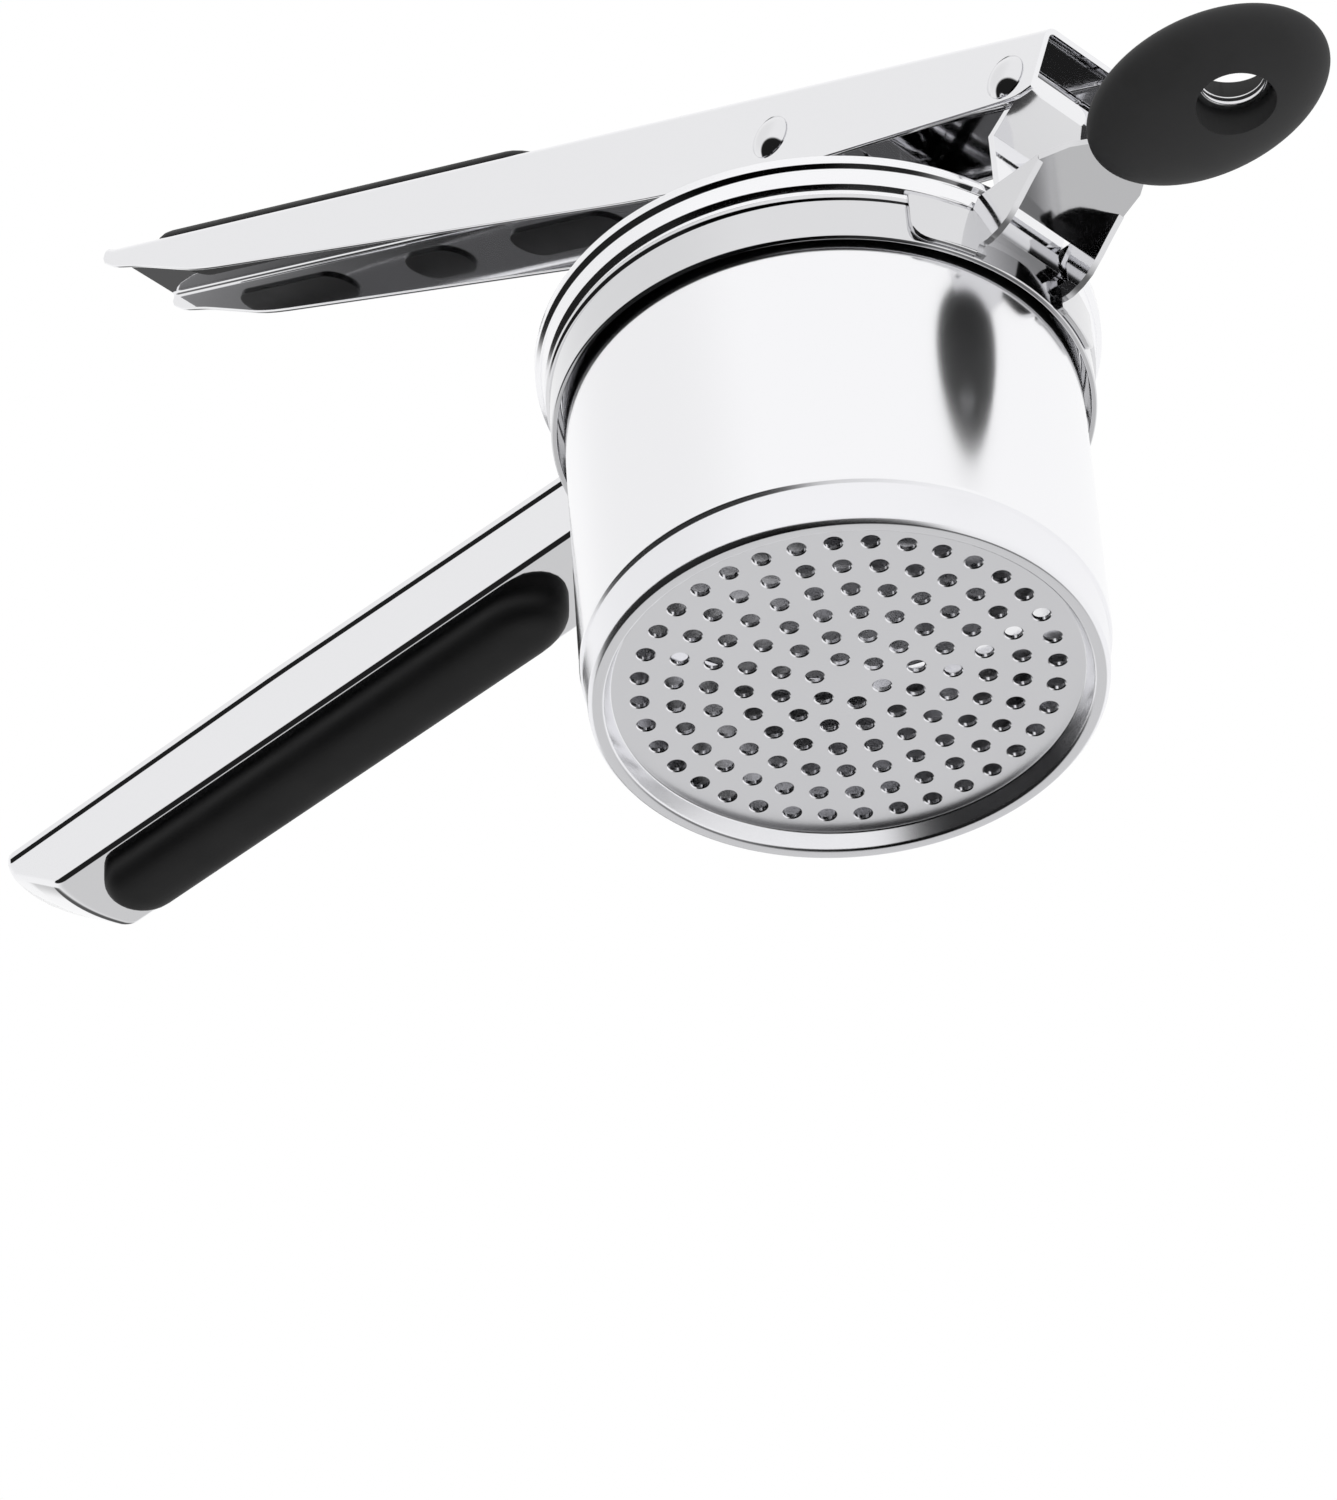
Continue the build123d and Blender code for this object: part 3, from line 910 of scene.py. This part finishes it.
@dataclass
class NoseBracket:
    """Folded sheet from the ring to the knob, with a soft fold along each flange."""

    half_width: float = 10.5
    web_top: float = 72.6
    sheet: float = 1.2
    tab_inner: float = 46.2
    tab_z: Pair = (60.2, 69.8)
    tab_start_deg: float = 12.0  # the tabs start inside the flanges
    tab_deg: float = 28.0
    tab_edge: float = 0.4
    tab_corner: float = 3.4
    cut_z: Pair = (55.0, 71.2)   # the CAD shape's own tabs lie between these heights
    fold: float = 1.5
    edge: float = 0.42

    def build(self) -> None:
        """Build the bracket and hand it over."""
        obj = copy_node("nose_bracket")
        work = bmesh.new()
        work.from_mesh(obj.data)
        near = 0.02 * MM

        def on_fold(vert: bmesh.types.BMVert) -> bool:
            """Return whether a point lies where the top and a flange meet."""
            at_top = abs(vert.co.z - self.web_top * MM) < near
            return at_top and abs(abs(vert.co.y) - self.half_width * MM) < near

        folds = [edge for edge in work.edges if all(on_fold(vert) for vert in edge.verts)]
        bmesh.ops.bevel(
            work, geom=folds, offset=self.fold * MM, offset_type="OFFSET", segments=6, profile=0.5,
            affect="EDGES", clamp_overlap=True,
        )
        work.to_mesh(obj.data)
        work.free()
        radii = (self.tab_inner, self.tab_inner + self.sheet)
        flange_deg = math.degrees(math.asin(self.half_width / self.tab_inner)) + 0.3
        cut_away(obj, [
            curved_plate(
                "tab_cutter", (radii[0] - 0.4, radii[1] + 0.6), self.cut_z,
                (side * flange_deg, side * (self.tab_deg + 4)), 0.01,
            )
            for side in (-1, 1)
        ])
        soften_edges(obj, self.edge, 3, 50.0)
        tabs = [
            curved_plate(
                "tab", radii, self.tab_z, (side * self.tab_start_deg, side * self.tab_deg),
                self.tab_edge, self.tab_corner,
            )
            for side in (-1, 1)
        ]
        obj = fuse("folded_nose_bracket", [obj] + tabs)
        even_normals(obj)
        hand_over(obj, Finish.BAND, Body.FRAME, ["nose_bracket"])


@dataclass
class LowerHandle:
    """Open-topped channel with rolled top edges and a slanted, bowed tip, and its soft pad."""

    start_x: float = -50.0
    start_z: float = 64.2
    tilt_deg: float = 1.74
    half_width: float = 9.5
    sheet: float = 1.2
    under_length: float = 137.0
    top_length: float = 150.5
    break_h: float = 10.0        # the tip slants up to this height and is upright above it
    bow_r: float = 24.0
    corner_r: float = 2.4
    bead: float = 0.8            # how far the rolled top edge stands out
    nominal_h: float = 14.0      # height of the top edge where its place in plan is worked out
    wall_h: Triple = (13.7, 14.7, 13.8)     # of the walls at the ring, half way and at the tip
    spine_inset: float = 4.0     # the underside's last row before the plane of symmetry
    spine_gap: float = 9.0
    ring_r: float = 46.25        # the walls end on the ring up to blend_z
    rim_gap: float = 2.7         # and this much further out to clear the basket's rim
    blend_z: float = 69.6
    blend_h: float = 3.6
    tab_radii: Pair = (46.2, 47.4)
    tab_top: float = 69.8
    tab_deg: float = 8.0
    pad_start: float = 13.4
    pad_end: float = 128.8
    pad_half_width: float = 7.0
    pad_edge: tuple[Pair, ...] = (          # inset and depth of the rows, from the top down
        (0.4, -0.05), (0.0, 0.0), (0.0, 0.9), (0.02, 1.9), (0.2, 2.8), (0.62, 3.6),
        (1.25, 4.25), (2.1, 4.72), (3.2, 5.02), (4.6, 5.16), (5.8, 5.2),
    )
    pad_stretch: float = 1.7     # the end at the ring is this much longer than a half circle

    def place(self, s: float, y: float, h: float) -> Vector:
        """Place in the model of a point on the handle.

        Args:
            s: Distance from the ring end towards the tip.
            y: Distance from the plane of symmetry.
            h: Height above the flat underside.

        Returns:
            The place in millimetres.
        """
        a = math.radians(self.tilt_deg)
        x = self.start_x - s * math.cos(a) + h * math.sin(a)
        z = self.start_z + s * math.sin(a) + h * math.cos(a)
        return Vector((x, y, z))

    def top_h(self, s: float) -> float:
        """Height of the top edge at a distance along the handle.

        Args:
            s: Distance from the ring end towards the tip.

        Returns:
            The height above the flat underside.
        """
        first, most, last = self.wall_h
        lowest_s = -5.0
        t = max(lowest_s, min(self.top_length, s))
        middle = self.top_length / 2
        if t < middle:
            return first + (t - lowest_s) / (middle - lowest_s) * (most - first)
        return most - (t - middle) / middle * (most - last)

    def plan_row(self, end_s: float, inset: float, start_s: float) -> list[Pair]:
        """One level of the handle in plan, from the ring round the tip and back.

        Args:
            end_s: Where the bowed end lies on the plane of symmetry.
            inset: Distance inwards from the outer wall.
            start_s: Where the level starts at the ring.

        Returns:
            Places as (s, y), from the -Y side to the +Y side.
        """
        straight_steps, corner_steps, bow_steps = 26, 6, 12
        half = self.half_width - inset
        bow = self.bow_r - inset
        corner = max(self.corner_r - inset, 0.35)
        centre = end_s - bow
        offset = bow - corner
        swing = math.asin((half - corner) / offset)
        corner_s = centre + offset * math.cos(swing)
        side: list[Pair] = []
        for i in range(straight_steps):
            side.append((start_s + (corner_s - start_s) * (i / straight_steps), -half))
        for i in range(corner_steps + 1):
            angle = -math.pi / 2 + (math.pi / 2 - swing) * i / corner_steps
            side.append(
                (corner_s + corner * math.cos(angle), corner - half + corner * math.sin(angle))
            )
        tip: list[Pair] = []
        for i in range(1, bow_steps):
            angle = -swing + 2 * swing * i / bow_steps
            tip.append((centre + bow * math.cos(angle), bow * math.sin(angle)))
        return side + tip + [(s, -y) for s, y in reversed(side)]

    def ring_start(self, y: float, z: float) -> float:
        """Where a point of the handle meets the ring or clears the basket's rim.

        Args:
            y: Distance from the plane of symmetry.
            z: Height in the model.

        Returns:
            Distance along the handle.
        """
        blend = max(0.0, min(1.0, (z - self.blend_z) / self.blend_h))
        radius = self.ring_r + self.rim_gap * blend
        return self.start_x + math.sqrt(radius ** 2 - y ** 2)

    def channel(self) -> bpy.types.Object:
        """Make the folded channel.

        Returns:
            The object.
        """
        sheet, bead = self.sheet, self.bead
        slope = self.break_h / (self.top_length - self.under_length)
        lean = math.sqrt(1 + 1 / slope ** 2)

        def fold(centre: float, radius: float) -> list[Pair]:
            """Return the rows of a quarter turn from the underside to the wall."""
            turn = [t * math.pi / 12 for t in range(7)]
            return [(centre - radius * math.sin(a), centre - radius * math.cos(a)) for a in turn]

        # Inset and level of the rows: from the underside, and then from the top edge.
        outer_low = [
            (self.spine_inset, 0.0), (1.5, 0.0), *fold(1.0, 1.0), (0.0, 5.0), (0.0, 9.0),
        ]
        outer_top = [
            (0.0, -2.3), (-0.15, -1.95), (-bead * 0.8, -1.6), (-bead, -1.05),
            (-bead * 0.8, -0.4), (-bead * 0.2, 0.0),
        ]
        inner_low = [(4.4, sheet), (2.6, sheet), *fold(2.0, 0.8), (sheet, 5.0), (sheet, 9.0)]
        inner_top = [
            (sheet, -2.3), (sheet, -1.8), (sheet, -1.3), (sheet, -0.9),
            (sheet - 0.1, -0.4), (sheet - 0.5, 0.0),
        ]
        levels = [(inset, level, False) for inset, level in outer_low]
        levels += [(inset, level, True) for inset, level in outer_top + inner_top[::-1]]
        levels += [(inset, level, False) for inset, level in inner_low[::-1]]

        rows: list[Ring] = []
        for inset, level, on_top in levels:
            nominal = level + (self.nominal_h if on_top else 0.0)
            pull = lean if nominal < self.break_h else 1.0
            end_s = self.under_length + min(nominal, self.break_h) / slope - max(inset, 0.0) * pull
            start_s = self.ring_start(self.half_width - inset, self.start_z + nominal)
            rows.append([
                self.place(s, y, level + (self.top_h(s) if on_top else 0.0))
                for s, y in self.plan_row(end_s, inset, start_s)
            ])
        spine_start = self.ring_start(0.0, self.start_z)
        spine_end = self.under_length - self.spine_gap
        spine = self.plan_row(self.under_length, self.spine_inset, spine_start)
        low, high = (
            [self.place(min(s, spine_end), 0.0, level) for s, _ in spine]
            for level in (0.0, sheet)
        )
        rows = [low] + rows + [high]
        count, last = len(low), len(rows) - 1
        faces: list[list[int]] = []
        for row in range(last):
            a, b = row * count, (row + 1) * count
            faces += [[a + c, a + c + 1, b + c + 1, b + c] for c in range(count - 1)]
        for row in range(last // 2):                # close the sheet at its two ends
            a, b = row * count, (last - row) * count
            faces += [[a + c, a + count + c, b - count + c, b + c] for c in (0, count - 1)]
        return new_object("channel", [p for row in rows for p in row], faces)

    def pad(self) -> bpy.types.Object:
        """Make the soft pad below the channel.

        Returns:
            The object.
        """
        half_l = (self.pad_end - self.pad_start) / 2
        middle = (self.pad_end + self.pad_start) / 2
        rings: list[Ring] = []
        for inset, depth in self.pad_edge:
            half_w = self.pad_half_width - inset
            turn_s = inset - half_l + half_w        # the half circle starts here
            row: Ring = []
            for s, y in slot_outline(half_l - inset, half_w):
                if s < turn_s + 0.01:
                    s = inset - half_l + self.pad_stretch * (half_w + s - turn_s)
                row.append(self.place(middle + s, y, -depth))
            rings.append(row)
        return loft("handle_pad", rings)

    def build(self) -> None:
        """Build the handle, its pad and the pad's carrier, and hand them over."""
        wall_deg = math.degrees(math.asin((self.half_width - self.sheet) / self.tab_radii[1]))
        tabs = [
            curved_plate(
                "tab", self.tab_radii, (self.start_z, self.tab_top),
                (180 + side * wall_deg, 180 + side * (wall_deg + self.tab_deg)),
            )
            for side in (-1, 1)
        ]
        handle = fuse("channel_handle", [self.channel()] + tabs)
        even_normals(handle)
        hand_over(handle, Finish.SHEET, Body.FRAME, ["lower_handle"])
        pad = self.pad()
        smooth(pad)
        hand_over(pad, Finish.SOFT, Body.FRAME, ["lower_grip"])
        rounded_copy("lower_grip_core", 0.3, Finish.HARD, Body.FRAME)


@dataclass
class Knob:
    """Pebble-shaped knob with a through bore and a steel eyelet half way along it."""

    centre: Triple = (89.0, 0.0, 72.0)
    half: Triple = (22.6, 16.4, 6.7)
    eye_x: float = 94.4
    bore_r: float = 6.7
    mouth: float = 0.35
    wide_r: float = 7.4          # the bore above the eyelet
    wide_slope: float = 0.8      # height over which the bore widens
    merge: float = 0.09          # slivers that the cut leaves along the bore are closed up
    eye_r: float = 5.2
    eye_bulge: float = 0.35      # the eye is this much wider half way through
    lip_r: float = 6.7
    half_eyelet: float = 1.0
    groove_r: float = 5.9        # the groove between the eyelet's two lips
    groove_half: float = 0.6
    segments: int = 96

    def pebble(self) -> bpy.types.Object:
        """Make the knob with its bore.

        Returns:
            The object.
        """
        mesh = bpy.data.meshes.new("pebble_knob")
        work = bmesh.new()
        bmesh.ops.create_uvsphere(work, u_segments=128, v_segments=64, radius=MM)
        work.to_mesh(mesh)
        work.free()
        to_centre = Matrix.Translation(Vector(self.centre) * MM)
        mesh.transform(to_centre @ Matrix.Diagonal((*self.half, 1.0)))
        knob = put_in_scene("pebble_knob", mesh)
        middle = self.centre[2]
        low, high = middle - 20, middle + 20        # well clear of the knob
        step = middle + self.half_eyelet + 0.1
        bore = spin("bore", [
            (0.0, low), (self.bore_r, low), (self.bore_r, step),
            (self.wide_r, step + self.wide_slope), (self.wide_r, high), (0.0, high),
        ], self.segments, closed=False)
        transform(bore, Matrix.Translation((self.eye_x * MM, 0, 0)))
        cut_away(knob, [bore])
        tidy_mesh(knob, self.merge)
        soften_edges(knob, self.mouth, 4)
        smooth(knob)
        return knob

    def eyelet(self) -> bpy.types.Object:
        """Make the eyelet that lines the bore.

        Returns:
            The object.
        """
        half, lip_r = self.half_eyelet, self.lip_r
        groove, groove_r = self.groove_half, self.groove_r
        outline = bend_corners([
            (self.eye_r, -half, 0.3), (lip_r, -half, 0.2), (lip_r, -groove, 0.1),
            (groove_r, -groove, 0.05), (groove_r, groove, 0.05), (lip_r, groove, 0.1),
            (lip_r, half, 0.2), (self.eye_r, half, 0.3), (self.eye_r + self.eye_bulge, 0.0, 0.15),
        ], 4)
        eyelet = spin("knob_eyelet_ring", outline, self.segments)
        transform(eyelet, Matrix.Translation((self.eye_x * MM, 0, self.centre[2] * MM)))
        smooth(eyelet)
        return eyelet

    def build(self) -> None:
        """Build the knob and its eyelet and hand them over."""
        hand_over(self.pebble(), Finish.KNOB, Body.FRAME, ["knob"])
        hand_over(self.eyelet(), Finish.RIVET, Body.FRAME, ["knob_eyelet"])
        dress_node("knob_core", Finish.HARD)


# ---------------------------------------------------------------- lever
@dataclass
class Lever:
    """Channel that opens downwards, with slots, a soft grip, and two rivets."""

    hinge: Pair = (54.9, 95.3)
    hinge_u: float = 7.2
    hinge_n: float = -8.8
    tilt_deg: float = 26.4
    length: float = 261.8
    half_width: float = 9.5
    sheet: float = 1.0
    fold: float = 2.0
    edge: float = 0.32
    profile: tuple[Pair, ...] = (           # distance from the front and depth of the walls
        (0.0, 11.8), (3.2, 13.4), (9.0, 13.9), (58.0, 17.3), (96.0, 17.3), (228.8, 10.0),
        (249.2, 5.9), (257.0, 4.9), (260.6, 3.5), (261.8, 1.8),
    )
    blend: float = 9.0           # the walls' changes of slope are smoothed over this reach
    front: tuple[float, ...] = (0.0, 0.4, 1.0, 2.0, 3.2, 4.6, 6.5, 9.0, 13.0, 20.0, 30.0, 42.0)
    tail: tuple[float, ...] = (249.5, 251.5, 253.5, 255.5, 257.2, 258.6, 259.6, 260.4, 261.1)
    slots: tuple[Pair, ...] = ((152.0, 30.0), (189.5, 16.5), (232.0, 32.0))     # middle, length
    slot_width: float = 9.0
    grip_start: float = 136.0
    grip_end: float = 252.0
    grip_half_width: float = 8.4
    grip_edge: tuple[Pair, ...] = (         # inset and rise of the rows, from the back outwards
        (0.5, -0.02), (0.1, 0.02), (0.0, 0.3), (0.1, 0.8), (0.4, 1.35), (0.9, 1.85),
        (1.6, 2.25), (2.6, 2.55), (3.9, 2.75), (5.4, 2.86), (7.0, 2.9),
    )
    pin_r: float = 3.0
    head_r: float = 4.1
    head_h: float = 1.8
    head_edge: float = 0.18      # height of the upright edge of a rivet's head
    pivot: Pair = (1.878, 120.281)

    def place(self, u: float, y: float, n: float) -> Vector:
        """Place in the model of a point on the lever.

        Args:
            u: Distance from the front edge towards the tail.
            y: Distance from the plane of symmetry.
            n: Height above the top face.

        Returns:
            The place in millimetres.
        """
        a = math.radians(self.tilt_deg)
        dx = self.hinge_u - u
        dz = n - self.hinge_n
        x = self.hinge[0] + dx * math.cos(a) + dz * math.sin(a)
        z = self.hinge[1] - dx * math.sin(a) + dz * math.cos(a)
        return Vector((x, y, z))

    def raw_depth(self, u: float) -> float:
        """Depth of the walls, with sharp changes of slope.

        Args:
            u: Distance from the front edge.

        Returns:
            The depth below the top face.
        """
        for (u0, d0), (u1, d1) in zip(self.profile, self.profile[1:]):
            if u <= u1:
                return d0 + (d1 - d0) * (u - u0) / (u1 - u0)
        return 0.0

    def depth(self, u: float) -> float:
        """Depth of the walls, with the changes of slope smoothed.

        Args:
            u: Distance from the front edge.

        Returns:
            The depth below the top face.
        """
        reach = min(self.blend, 0.45 * u, 0.15 * (self.length - u))
        steps = 9
        total = sum(self.raw_depth(u + reach * (2 * k / (steps - 1) - 1)) for k in range(steps))
        return total / steps

    def section(self, u: float) -> Ring:
        """Closed section across the channel at u.

        Args:
            u: Distance from the front edge.

        Returns:
            Places in the model.
        """
        w, t = self.half_width, self.sheet
        d = max(self.depth(u), t + 0.06)
        fold = min(self.fold, 0.8 * d)
        inner = max(fold - t, 0.2)
        outline = bend_corners([
            (-w, -d, self.edge), (-w, 0, fold), (w, 0, fold), (w, -d, self.edge),
            (w - t, -d, self.edge), (w - t, -t, inner), (t - w, -t, inner), (t - w, -d, self.edge),
        ], 6)
        return [self.place(u, y, n) for y, n in outline]

    def channel(self) -> bpy.types.Object:
        """Make the folded channel with its slots.

        Returns:
            The object.
        """
        middle = [48.0 + 6 * k for k in range(30)] + [226.0 + 3 * k for k in range(8)]
        stations = [*self.front, *middle, *self.tail]
        body = loft("lever_channel", [self.section(u) for u in stations])
        below, above = -3.0, 2.0                    # the cutters pass through the top face
        tools = []
        for centre, length in self.slots:
            outline = slot_outline(length / 2, self.slot_width / 2, 18)
            rings = [[self.place(centre + s, y, n) for s, y in outline] for n in (below, above)]
            tools.append(loft("slot_cutter", rings))
        cut_away(body, tools)
        soften_edges(body, 0.25, 2, 50.0)
        return body

    def grip(self) -> bpy.types.Object:
        """Make the soft grip on the channel's back.

        Returns:
            The object.
        """
        half_l = (self.grip_end - self.grip_start) / 2
        middle = (self.grip_end + self.grip_start) / 2
        rings: list[Ring] = []
        for inset, rise in self.grip_edge:
            outline = slot_outline(half_l - inset, self.grip_half_width - inset)
            rings.append([self.place(middle + s, y, rise) for s, y in outline])
        return loft("lever_back_grip", rings)

    def rivet(self, name: str, where: Pair) -> bpy.types.Object:
        """Make a rivet with a domed head on each side.

        Args:
            name: Name of the object.
            where: Its axis, as (x, z).

        Returns:
            The object.
        """
        ball = (self.head_r ** 2 + self.head_h ** 2) / (2 * self.head_h)
        face = self.half_width
        under = face + 0.02                         # the head just clears the wall
        steps = 9
        head: list[Pair] = []
        for k in range(steps + 1):
            r = (self.head_r - 0.12) * k / steps
            head.append((r, face + self.head_h - (ball - math.sqrt(ball ** 2 - r ** 2))))
        head += [
            (self.head_r, face + self.head_edge), (self.head_r - 0.1, under), (self.pin_r, under),
        ]
        outline = head + [(r, -a) for r, a in reversed(head)]
        pin = spin(name, outline, 72, closed=False)
        turn = Matrix.Rotation(math.radians(90), 4, "X")
        transform(pin, Matrix.Translation((where[0] * MM, 0, where[1] * MM)) @ turn)
        tidy_mesh(pin)
        smooth(pin)
        return pin

    def build(self) -> None:
        """Build the lever's pieces and hand them over."""
        channel = self.channel()
        even_normals(channel)
        hand_over(channel, Finish.SHEET, Body.LEVER, ["lever"])
        grip = self.grip()
        smooth(grip)
        hand_over(grip, Finish.SOFT, Body.LEVER, ["lever_grip"])
        rounded_copy("lever_grip_core", 0.3, Finish.HARD, Body.LEVER)
        for name, where in (("hinge_rivet", self.hinge), ("plunger_rivet", self.pivot)):
            rivet = self.rivet(f"{name}_domed", where)
            hand_over(rivet, Finish.RIVET, Body.LEVER, [name])


# ---------------------------------------------------------------- plunger
@dataclass
class Plunger:
    """Pressing disc on its folded bracket, with spot rivets and a spacer sleeve."""

    edge: float = 0.3

    def build(self) -> None:
        """Build the plunger's pieces and hand them over."""
        rounded_copy("plunger_bracket", self.edge, Finish.SHEET, Body.PLUNGER)
        rounded_copy("plunger_disc", self.edge, Finish.SHEET, Body.PLUNGER)
        dress_node("disc_rivets", Finish.RIVET)
        rounded_copy("pivot_sleeve", self.edge, Finish.RIVET, Body.PLUNGER)


# ---------------------------------------------------------------- studio
@dataclass(frozen=True)
class Shade:
    """Dark part of the studio, as the polished sheet mirrors it."""

    towards: Triple              # direction of its middle
    half_deg: float              # half of its width
    edge_deg: float              # half of the width of its soft edge
    level: float                 # brightness in it, where the room has one


@dataclass
class Studio:
    """Pale room that lights the object from all round, with a camera below the object."""

    azimuth_deg: float = 42.40
    elevation_deg: float = -39.81
    roll_deg: float = -4.21
    distance: float = 1300.0
    aim: Triple = (0.0, 0.0, 54.5)
    move_right: float = -26.65   # the camera stands this far off the line to its aim
    move_up: float = -50.74
    lens_mm: float = 185.304
    sensor_mm: float = 36.0
    clip: Pair = (0.01, 20.0)    # in metres
    floor_z: float = -950.0
    floor_r: float = 4000.0
    floor_segments: int = 64
    shades: tuple[Shade, ...] = (
        Shade((-0.35, -0.65, -0.67), 53.0, 4.0, 0.015),
        Shade((0.35, -0.35, -0.87), 32.0, 5.0, 0.03),
        Shade((0.20, 0.40, -0.89), 24.0, 10.0, 0.18),
        Shade((-0.518, 0.567, -0.64), 26.0, 14.0, 0.66),
        Shade((-0.84, 0.54, 0.04), 13.0, 5.0, 0.10),
        Shade((-0.518, -0.567, 0.64), 24.0, 20.0, 0.92),
    )

    def camera(self) -> None:
        """Place the camera and make it the scene's."""
        turns = (self.azimuth_deg, self.elevation_deg, self.roll_deg)
        a, e, r = (math.radians(turn) for turn in turns)
        back = Vector((math.sin(a) * math.cos(e), -math.cos(a) * math.cos(e), math.sin(e)))
        level_right = Vector((math.cos(a), math.sin(a), 0))
        level_up = back.cross(level_right)
        right = level_right * math.cos(r) + level_up * math.sin(r)
        up = level_up * math.cos(r) - level_right * math.sin(r)
        place = Vector(self.aim) + right * self.move_right + up * self.move_up
        place += back * self.distance
        data = bpy.data.cameras.new("camera")
        data.sensor_width = self.sensor_mm
        data.lens = self.lens_mm
        data.clip_start, data.clip_end = self.clip
        camera = bpy.data.objects.new("camera", data)
        turn = Matrix((right, up, back)).transposed().to_4x4()
        camera.matrix_world = Matrix.Translation(place * MM) @ turn
        bpy.context.scene.collection.objects.link(camera)
        bpy.context.scene.camera = camera

    def room(self) -> None:
        """Paint the room's light: pale all round, with soft dark parts for the steel."""
        world = bpy.data.worlds.new("pale_room")
        bpy.context.scene.world = world
        world.use_nodes = True
        tree = world.node_tree
        tree.nodes.clear()
        towards = add_node(tree, "ShaderNodeTexCoord").outputs["Generated"]
        level: object = 1.0
        for shade in self.shades:
            along = add_node(
                tree, "ShaderNodeVectorMath",
                {0: towards, 1: Vector(shade.towards).normalized()}, operation="DOT_PRODUCT",
            )
            part = add_node(
                tree, "ShaderNodeMapRange",
                {"Value": along.outputs["Value"],
                 "From Min": math.cos(math.radians(shade.half_deg + shade.edge_deg)),
                 "From Max": math.cos(math.radians(shade.half_deg - shade.edge_deg)),
                 "To Min": 1.0, "To Max": shade.level},
                interpolation_type="SMOOTHSTEP",
            )
            level = add_node(
                tree, "ShaderNodeMath", {0: level, 1: part.outputs["Result"]}, operation="MULTIPLY",
            ).outputs[0]
        seen = add_node(tree, "ShaderNodeLightPath").outputs["Is Camera Ray"]
        shown = add_node(tree, "ShaderNodeMath", {0: level, 1: seen}, operation="MAXIMUM")
        light = add_node(
            tree, "ShaderNodeBackground", {"Color": linear("FFFFFF"), "Strength": shown.outputs[0]},
        )
        add_node(tree, "ShaderNodeOutputWorld", {"Surface": light.outputs[0]})

    def floor(self) -> None:
        """Lay the pale floor far below the object, which is seen from underneath."""
        points: list[Vector] = []
        for step in range(self.floor_segments):
            a = 2 * math.pi * step / self.floor_segments
            x, y = self.floor_r * math.cos(a), self.floor_r * math.sin(a)
            points.append(Vector((x, y, self.floor_z)))
        floor = new_object("studio_floor", points, [list(range(len(points)))])
        floor.data.materials.append(StudioPaint().build())
        floor.visible_glossy = False

    def build(self) -> None:
        """Build the camera, the room's light and the floor."""
        self.camera()
        self.room()
        self.floor()
        bpy.context.scene.view_settings.view_transform = "Standard"


def main() -> None:
    """Build the studio and every sub-assembly in order."""
    logging.basicConfig(level=logging.INFO, format="%(name)s: %(message)s")
    Studio().build()
    Basket().build()
    RingBand().build()
    NoseBracket().build()
    rounded_copy("hinge_strap", 0.35, Finish.SHEET, Body.FRAME, 3)
    LowerHandle().build()
    Knob().build()
    Lever().build()
    Plunger().build()


if __name__ == "__main__":
    main()
